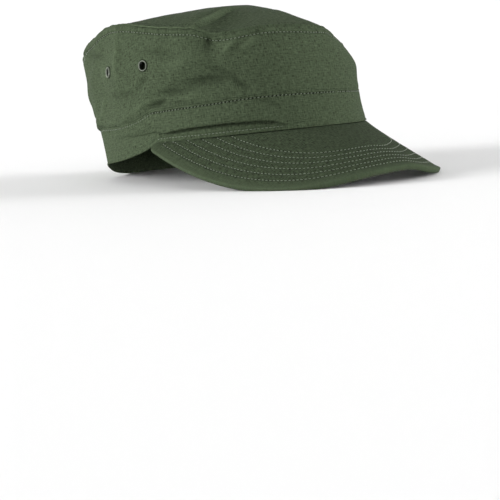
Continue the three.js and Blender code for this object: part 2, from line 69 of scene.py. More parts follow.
# %% Tables round the head: (turn, millimetres)
HEM_HEIGHTS = (
    (-180, -0.6), (-165, -0.2), (-150, 2.8), (-128, 11.1), (-107, 15.6), (-98, 18.1), (-92, 20.6),
    (-86.5, 23.2), (-81.5, 26.5), (-77, 29.9), (-73, 30.8), (-65, 31.8), (-56, 32.7), (-40, 34.4),
    (-22, 35.6), (-3, 36.1), (9, 35.9), (28, 35.1), (45, 34.2), (60, 32.9), (73, 31), (77, 29.5),
    (86.5, 22.7), (98, 17.2), (128, 9.6), (150, 2.8), (165, -0.2),
)
BAND_HEIGHTS = (
    (-180, 26), (-118, 25.5), (-93, 22.8), (-75, 22.2), (-53, 23.6), (-28, 25.2), (0, 24.4),
    (30, 23.4), (90, 23), (130, 25),
)
SEAM_HEIGHTS = (
    (-180, 87.7), (-150, 87.7), (-135, 88.5), (-125, 91.6), (-114, 97.1), (-104, 102.4), (-97, 107.3),
    (-90, 110), (-82, 110.2), (-74, 108.9), (-64, 107.1), (-55, 106.3), (-50, 105.6), (-46, 103.5),
    (-42, 101.4), (-36, 101.4), (-29, 102.8), (-19, 104.4), (-10, 104.1), (4, 102.6), (15, 101),
    (22, 97.6), (32, 93.1), (45, 90.4), (60, 92.2), (75, 97.6), (90, 99.1), (115, 91.6), (135, 88.5),
    (155, 87.7),
)
WALL_BULGES = {
    0.35: ((-180, -0.8), (-90, 1.2), (0, 2.7), (90, 1.2)),
    0.7: ((-180, 3), (-90, 3.1), (0, 5.9), (90, 3.1)),
    0.9: ((-180, 2.9), (-90, 1.3), (0, 3.9), (90, 1.3)),
}
FOOT_PUFFS = ((-180, 1.8), (-110, 1.9), (-75, 0.8), (0, 0.6), (75, 0.8), (110, 1.6))
FOOT_PUFF_START, FOOT_PUFF_FADE = 3, 18
print("tables:", len(HEM_HEIGHTS), "hem rows,", len(SEAM_HEIGHTS), "seam rows")

# %% Small helpers for curves
def smooth_curve(table, at, wraps=True):
    """A smooth curve through a table of (place, value) rows. Round the head it wraps."""
    x, y = np.array(table, float).T
    if wraps:
        x, y = np.concatenate([x - FULL_TURN, x, x + FULL_TURN]), np.tile(y, 3)
        at = (np.asarray(at, float) + FULL_TURN / 2) % FULL_TURN - FULL_TURN / 2
    else:
        x, y = np.r_[x[0], x, x[-1]], np.r_[y[0], y, y[-1]]
        at = np.clip(at, x[0], x[-1])
    i = np.clip(np.searchsorted(x, at, side="right") - 1, 1, len(x) - 3)
    width = x[i + 1] - x[i]
    t = (at - x[i]) / width
    start_slope = (y[i + 1] - y[i - 1]) / (x[i + 1] - x[i - 1]) * width
    end_slope = (y[i + 2] - y[i]) / (x[i + 2] - x[i]) * width
    return (y[i] * (1 + 2 * t) * (1 - t) ** 2 + start_slope * t * (1 - t) ** 2
            + y[i + 1] * t ** 2 * (3 - 2 * t) - end_slope * t ** 2 * (1 - t))


def hill(distance, width):
    return np.exp(-4 * (distance / width) ** 2)


def ridge(value, middle, width):
    return np.exp(-(((value - middle) / width) ** 2))


def smoothstep(value, low, high):
    t = np.clip((value - low) / (high - low), 0, 1)
    return t * t * (3 - 2 * t)


def plateau(value, start, full, fading, end):
    """0 up to the start and past the end, and 1 between full and fading."""
    return smoothstep(value, start, full) * smoothstep(value, end, fading)


def rounded(value, squareness):
    return np.sign(value) * np.abs(value) ** (2 / squareness)


def nearest_turn(turn):
    return (turn + FULL_TURN / 2) % FULL_TURN - FULL_TURN / 2


def near_turn(turn, middle, width):
    """A hill across the turns round the head, 1 at the middle."""
    return hill(nearest_turn(turn - middle), width)


def sin(degrees):
    return np.sin(np.radians(degrees))


def cos(degrees):
    return np.cos(np.radians(degrees))


# %% Arc length round the head, so that columns of cloth are evenly spaced
LAP_TURNS = np.linspace(-180, 180, 3601)
arc_steps = np.hypot(OPENING_HALF_WIDTH * cos(LAP_TURNS), OPENING_HALF_LENGTH * sin(LAP_TURNS))
arc_steps = arc_steps * np.radians(LAP_TURNS[1] - LAP_TURNS[0])
LAP_ARCS = np.concatenate([[0], np.cumsum((arc_steps[1:] + arc_steps[:-1]) / 2)])
LAP = LAP_ARCS[-1]


def turn_at(arc):
    return np.interp(arc, LAP_ARCS, LAP_TURNS)


def arc_at(turn):
    return np.interp(turn, LAP_TURNS, LAP_ARCS)


def arc_per_degree(turn):
    return np.radians(np.hypot(OPENING_HALF_WIDTH * cos(turn), OPENING_HALF_LENGTH * sin(turn)))


print("round the head:", round(LAP, 1), "mm")

# %% [markdown]
# ## Irregular waves
#
# Sewing thread draws cloth together, so a seam is never smooth: small puckers stand along it, each a
# little different. A sum of a few waves with fixed random phases gives that look, and it is the same
# every time the lesson runs. Across a seam the cloth has small ridges and furrows, where it is folded
# or a thread pulls it in. All of these are rows of short tables, so a seam is tuned in one place.

# %% Tables of the seams' puckers, ridges and furrows and the cloth's unevenness, in millimetres
# Puckers: height, wavelength, seed, distance from the seam, reach
PUCKERS = {
    "crown rim": (0.26, 7, 3, 3.4, 3.4),
    "crown foot": (0.16, 8, 5, 1, 5),
    "panel rim": (0.26, 8, 9, 2.5, 4),
    "band top": (0.18, 6, 12, 2.5, 3),
    "band hem": (0.12, 7, 14, 3, 3),
}
# Ridges, and furrows where the height is negative: height, distance from the seam, width
RELIEF = {
    "crown foot": (-0.2, 0, 0.7),
    "rim thread": (-0.5, 4.6, 0.8),
    "rim groove": (-0.5, 0, 0.8),
    "panel roll": (0.9, 0.7, 0.7),
    "band edge groove": (-0.2, 0, 0.35),
    "band edge": (0.15, 0.7, 0.5),
    "band thread": (-0.4, 1.7, 0.55),
    "under the buckle": (-0.75, -1.6, 1.4),
    "hem roll": (0.55, 0.7, 0.7),
    "joint thread": (-0.3, 2.4, 0.6),
    "visor thread": (-0.34, 0, 0.75),
    "visor edge cord": (0.6, 0, 3),
}
# Unevenness all over: height, size, seed
CRUMPLE = {
    "wall, broad": (0.55, 16, 1), "wall, fine": (0.26, 7, 2), "panel, broad": (0.5, 22, 4),
    "panel, fine": (0.2, 8, 6), "band": (0.16, 12, 7), "visor, fine": (0.044, 9, 8),
    "visor, broad": (0.06, 30, 3),
}

# %% Puckers along a seam, relief across it and soft unevenness all over
WAVES = 7
SEED_STEPS = Vector((17.3, 5.1, 9.7))


def puckers(name, turn, away):
    """Uneven waves along a seam, which close after one lap and fade away from the seam."""
    height, wavelength, seed, middle, reach = PUCKERS[name]
    phases = np.random.default_rng(seed).uniform(0, 2 * np.pi, WAVES)
    counts = [round(LAP / wavelength * (0.7 + 0.1 * k)) for k in range(WAVES)]
    waves = sum(np.cos(2 * np.pi * count * arc_at(turn) / LAP + phase)
                for count, phase in zip(counts, phases))
    return height * waves / math.sqrt(WAVES) * ridge(away, middle, reach)


def relief(name, away):
    height, middle, width = RELIEF[name]
    return height * ridge(away, middle, width)


def unevenness(name, points):
    """Soft noise in space."""
    height, size, seed = CRUMPLE[name]
    return height * np.array([noise.noise(Vector(p) / size + SEED_STEPS * seed) for p in points])


print("seams:", len(PUCKERS), "rows of puckers,", len(RELIEF), "ridges and furrows")

# %% [markdown]
# ## The surfaces of the cap
#
# The side wall stands between two closed curves, the hem below and the top seam above. Each point of
# it is found by walking from hem to seam and stepping outwards by the fullness of the cloth. Folds
# are long soft hills and hollows on that wall, written in a table, because the eye reads a soft cap
# almost only by them. The narrow creases have a second use: each corner of the cloth also keeps a
# mark of crest or hollow, and the cloth's colour gets a painted highlight on the crests and painted
# shade in the hollows.

# %% Hem, seam and side wall
def hem_points(turn):
    height = smooth_curve(HEM_HEIGHTS, turn)
    return np.stack([OPENING_HALF_WIDTH * sin(turn), -OPENING_HALF_LENGTH * cos(turn), height], -1)


def outward(turn):
    out = np.stack([OPENING_HALF_LENGTH * sin(turn), -OPENING_HALF_WIDTH * cos(turn), 0 * turn], -1)
    return out / np.linalg.norm(out, axis=-1, keepdims=True)


RIM_SLUMP, RIM_SLUMP_TURN, RIM_SLUMP_WIDTH = 2.2, 43, 26


def seam_points(turn):
    x = SEAM_SHIFT_X + SEAM_HALF_WIDTH * rounded(sin(turn), SEAM_SQUARENESS)
    y = SEAM_BACK - SEAM_HALF_LENGTH * rounded(cos(turn), SEAM_SQUARENESS)
    slump = RIM_SLUMP * near_turn(turn, RIM_SLUMP_TURN, RIM_SLUMP_WIDTH)
    points = np.stack([x, y, smooth_curve(SEAM_HEIGHTS, turn)], -1)
    return points - outward(turn) * np.asarray(slump)[..., None]


def wall_height(turn):
    return np.linalg.norm(seam_points(turn) - hem_points(turn), axis=-1)


def band_height(turn):
    return smooth_curve(BAND_HEIGHTS, turn)


def bulge(turn, part):
    """How far the unfolded wall stands out, from the table at 35%, 70% and 90% of its height."""
    knots = [0, *WALL_BULGES, 1]
    total = 0
    for knot, table in WALL_BULGES.items():
        share = smooth_curve([(k, float(k == knot)) for k in knots], part, wraps=False)
        total = total + share * smooth_curve(table, turn)
    return total


CORNER_SWELL, CORNER_TURN, CORNER_WIDTH, CORNER_RISE, CORNER_REACH = 1.5, 44, 44, 34, 34


def wall_points(turn, rise, out):
    part = rise / wall_height(turn)
    straight = hem_points(turn) * (1 - part)[:, None] + seam_points(turn) * part[:, None]
    corner = CORNER_SWELL * near_turn(turn, CORNER_TURN, CORNER_WIDTH)
    corner = corner * hill(rise - CORNER_RISE, CORNER_REACH)
    return straight + outward(turn) * (bulge(turn, part) + corner + out)[:, None]


# %% Folds of the side wall: turn, rise, length, width, lean, out
WALL_FOLDS = {
    "corner behind the right temple": (-89, 60, 60, 14, 86, 2.6),
    "dent behind that corner": (-104, 48, 40, 20, 80, -2.4),
    "ridge over the band": (-85, 30, 44, 6, 9, 1.7),
    "crease under that ridge": (-73, 26, 24, 5, 4, -1.9),
    "short crease above it": (-64, 33, 20, 6, 8, -1.4),
    "hollow of the temple": (-46, 40, 42, 14, 4, -1.8),
    "ridge above the hollow": (-50, 52, 40, 10, -8, 1),
    "dent near the right eyelet": (-65, 59, 18, 9, 0, -1),
    "soft drop to the band": (-35, 33, 26, 9, -30, -1),
    "pinch, rear ridge": (-35, 61, 17, 4.5, 45, 1.2),
    "pinch, front ridge": (-27, 61, 14, 4.5, 42, 1.1),
    "pinch, hollow": (-42, 64, 16, 8, 20, -1.8),
    "flat of the forehead": (6, 46, 44, 26, 0, -0.8),
    "slumped left corner": (34, 45, 40, 12, -10, 1.8),
    "crease under the slump": (44, 34, 36, 8, -8, -1.6),
    "left temple ridge": (76, 34, 40, 8, -10, 1.4),
    "left rear corner": (102, 54, 50, 16, 96, 1.8),
    "left rear dent": (118, 46, 36, 20, 86, -2),
    "back crease over the band": (152, 35, 60, 9, 5, -1.6),
    "back roll": (170, 48, 70, 14, -4, 1.6),
    "right back crease": (-142, 38, 46, 9, 12, -1.6),
    "right back roll": (-136, 54, 44, 16, 16, 1.4),
}


def fold_sum(folds, turn, rise):
    total = 0 * turn
    for middle, height, length, width, lean, out in folds.values():
        across = nearest_turn(turn - middle) * arc_per_degree(middle)
        up = rise - height
        along = across * cos(lean) + up * sin(lean)
        aside = up * cos(lean) - across * sin(lean)
        total = total + out * hill(along, length) * hill(aside, width * 2)
    return total


# %% Small creases of the side wall, in the same columns; they are too fine for the plain solids
WALL_CREASES = {
    "foot of the pinch": (-44, 64, 9, 2.4, 78, -2.2),
    "dent before the front eyelet": (-65, 60, 30, 2.5, -13, -1.4),
    "long temple dent": (-48, 38.3, 34, 3.2, 1, -2.7),
    "short dent in front of it": (-34, 34, 13, 2.3, -41, -1.9),
    "low dent by the band": (-62.5, 33, 28, 2.3, 3, -2.1),
    "deep crease under the ridge": (-72.5, 26.2, 13, 1.8, 12, -2.1),
    "its shallow end": (-62, 25, 22, 1.7, -6, -1.3),
    "slanting crease": (-42, 45, 22, 1.9, -21, -1.4),
    "upright crease by the corner": (-85.5, 69, 11, 2.4, -82, -1),
    "crease by the rear seam": (-107, 75.5, 28, 3.2, -11, -1.5),
    "soft dent below the eyelets": (-90, 41.2, 32, 3.2, -11, -1.4),
    "small dent below the eyelet": (-77.4, 42.4, 12, 2, 12, -1),
    "crease by the front pinch": (-22.5, 68, 10, 1.6, 19, -1.5),
    "upright crease in front": (-5, 66, 9, 1.2, 88, -0.9),
    "edge of the rear corner": (-89, 65.5, 34, 2.6, 80, 1.2),
    "ridge from the band": (-79, 28.4, 40, 2.2, 2, 1.1),
    "easing of the ridge": (-86, 29, 44, 7, 7, -1.5),
    "flat under the slumped rim": (40, 53, 34, 5, 0, 0.3),
    "swell of the front corner": (40, 38, 44, 8, 0, 1),
    "sharp rear pinch": (-35, 61, 14, 1.9, 42, 1.8),
    "sharp front pinch": (-26.5, 61.5, 12, 1.7, 46, 1.5),
    "swell by the eyelet": (-57, 53, 18, 4, 13, 1.1),
    "ridge behind the ear": (-110, 39, 20, 2.2, 34, 1.2),
    "ridge over the stitches": (-56, 28.4, 20, 2.4, 3, 0.9),
    "swell under the rear eyelet": (-96, 52.5, 22, 8, 0, 1.3),
    "swell behind the rear eyelet": (-101.5, 61, 16, 4.5, 88, 1),
    "hollow over the rear eyelet": (-96, 69, 22, 8, 0, -1.3),
    "left pinch": (40, 58, 16, 2, -40, 1.5),
    "left pinch, behind": (50, 56, 18, 2.4, -34, 1.4),
    "left temple dent": (62, 40, 30, 4, -6, -2.2),
    "left crease over the band": (84, 30, 34, 2.2, -8, 1.6),
    "left dent by the band": (72, 26, 20, 2.2, -10, -2),
    "left rear crease": (112, 44, 26, 3, 12, -1.7),
    "back pleat": (142, 52, 22, 2.4, 60, 1.5),
    "back dent": (164, 34, 30, 3.4, -8, -1.8),
    "back crease": (-164, 46, 28, 2.6, 20, -1.6),
    "right back pleat": (-142, 60, 22, 2.4, -52, 1.4),
    "hollow behind the right corner": (-130, 62.5, 46, 8, 0, -2),
    "puff over the band behind": (-126, 29.5, 40, 5, 0, 1.5),
    "right back dent": (-134, 32, 26, 3, 6, -1.8),
}


# A crease that is narrower than this leaves a mark of painted highlight on its top and painted shade in its
# dip, and a height of this much a full one.
NARROW, FULL_MARK = 5, 2


def painted_fold_shading(folds, turn, rise):
    """Marks of the narrow creases: up to 1 for painted highlight on their tops, down to -1 for painted
    shade in their dips.
    """
    narrow = {name: row for name, row in folds.items() if row[3] < NARROW}
    return fold_sum(narrow, turn, rise) / FULL_MARK


print("folds of the side wall:", len(WALL_FOLDS), "and", len(WALL_CREASES), "small creases")

# %% [markdown]
# ## Cutting and laying cloth
#
# Every cloth piece starts the way it does on the cutting table: as a flat rectangle. A grid
# primitive is that rectangle, and its own u and v run along and across the cloth. A function then
# lays each point of it where the cap needs it, as a sculptor's hand would. The flat places stay in
# the UV map, in metres, so that the weave follows the cloth. Then the ends are sewn together by
# merging doubles, the normals are put right, and Solidify gives the wall its thickness.

# %% Cut and lay a piece of cloth
def add_object(name, data):
    made = bpy.data.objects.new(name, data)
    bpy.context.scene.collection.objects.link(made)
    return made


def only(piece):
    """Selects one piece and nothing else, in object mode."""
    if bpy.context.object and bpy.context.object.mode != "OBJECT":
        bpy.ops.object.mode_set(mode="OBJECT")
    bpy.ops.object.select_all(action="DESELECT")
    piece.select_set(True)
    bpy.context.view_layer.objects.active = piece


def cut_cloth(name, columns, rows):
    bpy.ops.object.select_all(action="DESELECT")
    bpy.ops.mesh.primitive_grid_add(x_subdivisions=columns, y_subdivisions=rows, size=1,
                                    location=(0.5, 0.5, 0))
    cloth = bpy.context.active_object
    cloth.name = cloth.data.name = name
    cloth.data.uv_layers.remove(cloth.data.uv_layers[0])
    bpy.ops.object.transform_apply(location=True, rotation=True, scale=True)
    return cloth


def corners(piece):
    flat = np.empty(len(piece.data.vertices) * 3, np.float32)
    piece.data.vertices.foreach_get("co", flat)
    return flat.reshape(-1, 3).astype(float)


# In metres: how far above the floor the lowest cloth lies, and how close two corners are one.
REST, DOUBLES = 0.00002, 0.00002


def above_ground(points):
    points[:, 2] = np.maximum(points[:, 2], REST)
    return points


def to_row_frame(points):
    """From millimetres about the head opening to metres in the part's frame, above the ground."""
    return above_ground((points + np.array([0, OPENING_CENTRE_Y, 0])) * MILLIMETRE)


def move_corners(piece, points):
    piece.data.vertices.foreach_set("co", points.astype(np.float32).ravel())
    piece.data.update()


def write_uv(piece, name, across, up):
    """Writes a UV map, in metres, from a place in millimetres for each corner."""
    layer = piece.data.uv_layers.new(name=name)
    loops = np.empty(len(piece.data.loops), np.int32)
    piece.data.loops.foreach_get("vertex_index", loops)
    places = np.stack([across, up], -1)[loops]
    layer.data.foreach_set("uv", (places * MILLIMETRE).astype(np.float32).ravel())


def write_marks(piece, name, marks):
    """Writes an attribute, from a value between -1 and 1 for each corner."""
    layer = piece.data.attributes.new(name, "FLOAT", "POINT")
    layer.data.foreach_set("value", np.clip(marks, -1, 1).astype(np.float32))


def lay(name, columns, rows, place):
    """Lays a cloth. For its u and v, place gives the points, the weave, the seam and the painted shading
    marks.
    """
    cloth = cut_cloth(name, columns, rows)
    points, weave, seam, fold_shading_mark = place(*corners(cloth).T[:2])
    write_uv(cloth, "weave", *weave)
    write_uv(cloth, "seam", *seam)
    # This mark gives the cloth a painted highlight on crease tops and painted shade in their dips.
    if fold_shading_mark is not None:
        write_marks(cloth, "fold_shading_mark", fold_shading_mark)
    move_corners(cloth, to_row_frame(points))
    return cloth


# %% Sew, thicken and finish a piece of cloth
def edit_all(piece, kind="VERT"):
    """Opens a piece in edit mode with all of it selected."""
    only(piece)
    bpy.ops.object.mode_set(mode="EDIT")
    bpy.ops.mesh.select_mode(type=kind)
    bpy.ops.mesh.select_all(action="SELECT")


def sew_ends(piece, closes=False):
    edit_all(piece)
    bpy.ops.mesh.remove_doubles(threshold=DOUBLES)
    if closes:
        bpy.ops.mesh.select_all(action="DESELECT")
        bpy.ops.mesh.select_non_manifold(extend=False, use_wire=False, use_multi_face=False,
                                         use_non_contiguous=False, use_verts=False)
        bpy.ops.mesh.fill_holes(sides=0)
        bpy.ops.mesh.select_all(action="SELECT")
        bpy.ops.mesh.normals_make_consistent(inside=False)
    bpy.ops.object.mode_set(mode="OBJECT")


def thicken(piece, thickness):
    only(piece)
    wall = piece.modifiers.new("Wall", "SOLIDIFY")
    wall.thickness = thickness * MILLIMETRE
    wall.offset = -1
    bpy.ops.object.modifier_apply(modifier=wall.name)
    move_corners(piece, above_ground(corners(piece)))


def finish_piece(piece, node_names, sharp_degrees=60):
    only(piece)
    bpy.ops.object.shade_smooth_by_angle(angle=math.radians(sharp_degrees))
    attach(piece, "root")
    if node_names:
        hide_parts(*node_names)
    triangles = sum(len(face.vertices) - 2 for face in piece.data.polygons)
    print(piece.name, "-", triangles, "triangles")
    return piece


# %% [markdown]
# ## The side wall of the crown
#
# One strip of cloth goes round the head and is closed behind. Below, it goes down behind the edge of
# the band and puffs out a little above it. Above, the seam allowances are folded down inside and
# topstitched, so a strip about 4.5 mm wide under the top seam is thicker, with a furrow where the
# thread lies and puckers across it. The rows of corners stand closer together at both seams.

# %% The surface of the side wall
LAP_COLUMNS, WALL_ROWS = 540, 82
RIM_STITCH, RIM_ALLOWANCE = RELIEF["rim thread"][1], 0.5
# Each with the turn of its middle and its width. The shade width is that of the painted shade under the
# crisp rim.
RIM_CREST_TURNS, RIM_CREST_DEPTH, RIM_SHADE_WIDTH = (-63, 44), 1.2, 1.1
RIM_SMOOTH_TURNS, RIM_SMOOTH = (38, 60), 0.8
FOOT_BELOW, FOOT_TUCK, FOOT_SOFT = 2.2, 0.5, 0.6
# The slack is small at the front and full past the second of these turns.
SLACK_FRONT, SLACK_BACK, SLACK_TURNS = 0.6, 2.0, (40, 95)
# Millimetres at the foot and at the rim that take this share of the rows of corners
FOOT_DENSE, FOOT_SHARE, RIM_DENSE, RIM_SHARE = 5.5, 0.16, 8, 0.2


def crisp_rim(turn):
    """1 where the rim is folded to a crisp edge, on the wearer's right, with painted shade under it and a
    painted highlight on the roll.
    """
    return near_turn(turn, *RIM_CREST_TURNS)


def rim_puckers(name, turn, away):
    """Puckers of the rim, nearly smooth at the slumped corner."""
    return (1 - RIM_SMOOTH * near_turn(turn, *RIM_SMOOTH_TURNS)) * puckers(name, turn, away)


def crown_out(turn, rise):
    """How far the side wall's cloth stands out at a place: folds, puffs, furrow and puckers."""
    above = rise - band_height(turn)
    below = wall_height(turn) - rise
    puff = FOOT_SOFT * smooth_curve(FOOT_PUFFS, turn) * smoothstep(above, 0, FOOT_PUFF_START)
    puff = puff * hill(above, 2 * FOOT_PUFF_FADE)
    fade = smoothstep(above, 0, FOOT_PUFF_START) * smoothstep(below, 0, FOOT_PUFF_START)
    folds = fold_sum(WALL_FOLDS, turn, rise) + fold_sum(WALL_CREASES, turn, rise)
    out = puff + folds * fade + relief("crown foot", above) - FOOT_TUCK * smoothstep(above, 0.3, -0.3)
    out = out + RIM_ALLOWANCE * smoothstep(below, RIM_STITCH + 0.6, RIM_STITCH - 0.4)
    out = out + relief("rim thread", below)
    out = out + (1 + RIM_CREST_DEPTH * crisp_rim(turn)) * relief("rim groove", below)
    return out + rim_puckers("crown rim", turn, below) + puckers("crown foot", turn, above)


def crown_surface(turn, rise):
    """The side wall's cloth, soft and uneven most of all at the sides and the back."""
    points = wall_points(turn, rise, crown_out(turn, rise))
    back = smoothstep(np.abs(nearest_turn(turn)), *SLACK_TURNS)
    crumple = unevenness("wall, broad", points) + unevenness("wall, fine", points)
    slack = SLACK_FRONT + (SLACK_BACK - SLACK_FRONT) * back
    return points + outward(turn) * (slack * crumple)[:, None]


# %% Lay the side wall
def crown_side_place(u, v):
    turn = turn_at(u * LAP)
    low, high = band_height(turn) - FOOT_BELOW, wall_height(turn) - 0.1
    foot = FOOT_DENSE * np.minimum(v / FOOT_SHARE, 1)
    rim = RIM_DENSE * np.maximum(v - 1 + RIM_SHARE, 0) / RIM_SHARE
    between = np.clip((v - FOOT_SHARE) / (1 - FOOT_SHARE - RIM_SHARE), 0, 1)
    rise = low + foot + rim + (high - low - FOOT_DENSE - RIM_DENSE) * between
    below = wall_height(turn) - rise
    fade = smoothstep(below, 0, FOOT_PUFF_START) * smoothstep(rise - band_height(turn), 0, 2)
    # Painted shade just under the crisp rim
    shade = crisp_rim(turn) * ridge(below, 0, RIM_SHADE_WIDTH)
    fold_shading_mark = painted_fold_shading(WALL_CREASES, turn, rise) * fade - shade
    return crown_surface(turn, rise), (u * LAP, rise), (u * LAP, below), fold_shading_mark


crown_side = lay("crown_side_cloth", LAP_COLUMNS, WALL_ROWS, crown_side_place)
sew_ends(crown_side)
print("side wall laid:", len(crown_side.data.vertices), "corners")

# %% [markdown]
# ## Holes for the eyelets
#
# A vent eyelet is punched through the cloth. The cloth's faces within the barrel's reach are deleted
# before the wall gets its thickness, and Solidify then closes the hole's edge. The ragged edge that
# this leaves lies under the eyelet's flange, as it does on the real cap.

# %% Punch the eyelet holes, then give the wall its thickness
EYELETS = {
    "eyelet_right_front": (-75.4, 53.3), "eyelet_right_rear": (-95, 60.6),
    "eyelet_left_front": (75.5, 50), "eyelet_left_rear": (96.5, 55),
}
PUNCH_RADIUS = 3.3


def surface_place(surface, turn, rise):
    """A point of a surface and its outward normal, in millimetres about the opening."""
    reach = 0.5
    turns = np.array([turn, turn + reach, turn - reach, turn, turn], float)
    rises = np.array([rise, rise, rise, rise + reach, rise - reach], float)
    middle, ahead, behind, over, under = surface(turns, rises)
    normal = np.cross(ahead - behind, over - under)
    return middle, normal / np.linalg.norm(normal)


def select_faces(piece, chosen):
    edit_all(piece, "FACE")
    bpy.ops.mesh.select_all(action="DESELECT")
    bpy.ops.object.mode_set(mode="OBJECT")
    piece.data.polygons.foreach_set("select", chosen)
    bpy.ops.object.mode_set(mode="EDIT")


def round_hole(piece, middle, radius):
    """Moves the ragged corners round a hole onto a circle."""
    edge_of_loop = np.array([loop.edge_index for loop in piece.data.loops])
    open_edges = np.flatnonzero(np.bincount(edge_of_loop, minlength=len(piece.data.edges)) == 1)
    rim = {corner for edge in open_edges for corner in piece.data.edges[edge].vertices}
    for corner in rim:
        place = piece.data.vertices[corner].co
        if (place - middle).length < 2 * radius:
            place[:] = middle + (place - middle).normalized() * radius


centres = np.array([face.center for face in crown_side.data.polygons])
punched = np.zeros(len(centres), bool)
hole_middles = [to_row_frame(surface_place(crown_surface, *place)[0][None, :])[0]
                for place in EYELETS.values()]
for middle in hole_middles:
    punched |= np.linalg.norm(centres - middle, axis=1) < PUNCH_RADIUS * MILLIMETRE
select_faces(crown_side, punched)
bpy.ops.mesh.delete(type="FACE")
bpy.ops.object.mode_set(mode="OBJECT")
for middle in hole_middles:
    round_hole(crown_side, Vector(middle), PUNCH_RADIUS * MILLIMETRE)
thicken(crown_side, CLOTH)
finish_piece(crown_side, ["crown_side"])
print("faces punched out:", int(punched.sum()))

# %% [markdown]
# ## The top panel
#
# The top is one oval of cloth, a little too full for its seam, so it puffs up and creases. A grid is
# wrapped round like a fan: one edge of it becomes the seam and the other shrinks to the middle. At
# the seam the cloth turns under in a thin roll that catches the light. The flat x and y go in the UV
# map, so the weave runs straight across the panel and not round it.

# %% The surface of the top panel
PANEL_FOLDS = {
    "long ridge from the right temple": (-32, -27, 92, 9, 30, 3),
    "hollow in front of it": (-30, -50, 56, 20, 26, -2.8),
    "hollow behind it": (-27, 36, 90, 32, 20, -4),
    "flat of the crown": (-8, -10, 56, 22, 20, -2),
    "flat behind the right temple": (-57, 25, 60, 22, 0, -1.4),
    "roll by the slumped corner": (47, -25, 56, 18, 52, 2.4),
    "dip inside that roll": (41, -29, 44, 9, 52, -3.1),
    "swell inside the dip": (23, -13, 40, 14, 55, 0.7),
    "swell over the back": (8, 89, 80, 34, 0, 1.2),
}


def flat_folds(folds, points):
    total = 0 * points[:, 0]
    for x, y, length, width, heading, up in folds.values():
        along = (points[:, 0] - x) * cos(heading) + (points[:, 1] - y) * sin(heading)
        aside = (points[:, 1] - y) * cos(heading) - (points[:, 0] - x) * sin(heading)
        total = total + up * hill(along, length) * hill(aside, width * 2)
    return total


def panel_surface(turn, part):
    """part is 0 in the middle and 1 at the seam."""
    seam = seam_points(turn)
    centre = np.array([SEAM_SHIFT_X, SEAM_BACK, 0.0])
    points = centre + (seam - centre) * part[:, None]
    folds = flat_folds(PANEL_FOLDS, points) * (1 - smoothstep(part, 0.9, 1))
    points[:, 2] = PANEL_HEIGHT + (seam[:, 2] - PANEL_HEIGHT) * part ** PANEL_FULLNESS + folds
    return points


# %% Lay the top panel
PANEL_COLUMNS, PANEL_ROWS, PANEL_DENSE, PANEL_SHARE = 480, 84, 8, 0.26
# RIM_LIGHT_WIDTH is how wide the painted highlight along the roll at the crisp rim is.
TURNED_UNDER, TURNED_WIDTH, TURNED_SINK, RIM_LIGHT_WIDTH, ROLL_LIFT = 0.7, 1.3, 0.5, 1.4, 0.8
# A shift that keeps every place in the UV map above zero
UV_SHIFT = 400
PANEL_CREASES = {
    "sharp top of the long ridge": (-40, -37.6, 64, 1.7, 24, 2.2),
    "hollow close before it": (-37, -39.5, 50, 2.4, 24, -0.9),
    "crease over the rear roll": (40, 10, 44, 2.6, 70, -0.9),
    "crease over the back": (10, 62, 60, 3, -14, -0.8),
}


def crown_top_place(u, v):
    turn = turn_at(u * LAP)
    reach = np.hypot(SEAM_HALF_LENGTH * cos(turn), SEAM_HALF_WIDTH * sin(turn))
    inner = np.clip((v - PANEL_SHARE) / (1 - PANEL_SHARE), 0, 1)
    from_seam = PANEL_DENSE * np.minimum(v / PANEL_SHARE, 1) + (reach - PANEL_DENSE) * inner
    points = panel_surface(turn, 1 - from_seam / reach)
    rise = TURNED_UNDER * (1 - ridge(from_seam, 0, TURNED_WIDTH)) - TURNED_SINK
    rise = rise + rim_puckers("panel rim", turn, from_seam)
    rise = rise + flat_folds(PANEL_CREASES, points) * smoothstep(from_seam, 0, 4)
    points[:, 2] += rise + unevenness("panel, broad", points) * smoothstep(from_seam, 0, 12)
    points[:, 2] += unevenness("panel, fine", points) * smoothstep(from_seam, 0, 6)
    roll = relief("panel roll", from_seam)
    points += outward(turn) * roll[:, None]
    points[:, 2] += roll * ROLL_LIFT
    # A painted highlight along the panel's roll at the crisp rim
    light = crisp_rim(turn) * ridge(from_seam, 0, RIM_LIGHT_WIDTH)
    fold_shading_mark = flat_folds(PANEL_CREASES, points) / FULL_MARK + light
    return points, points[:, :2].T + UV_SHIFT, (arc_at(turn), from_seam), fold_shading_mark


crown_top = lay("crown_top_cloth", PANEL_COLUMNS, PANEL_ROWS, crown_top_place)
sew_ends(crown_top)
thicken(crown_top, CLOTH)
finish_piece(crown_top, ["crown_top"])

# %% [markdown]
# ## The band
#
# The band is a folded strip of two layers. On the wearer's right it has buckled above the visor: its
# upper part hangs over a flat strip and throws the darkest shadow on the cap. Its upper edge stands
# a little proud of the crown, and its lower edge is a soft roll. Near the visor's two ends the hem
# goes down into the joint, which closes it against the light.

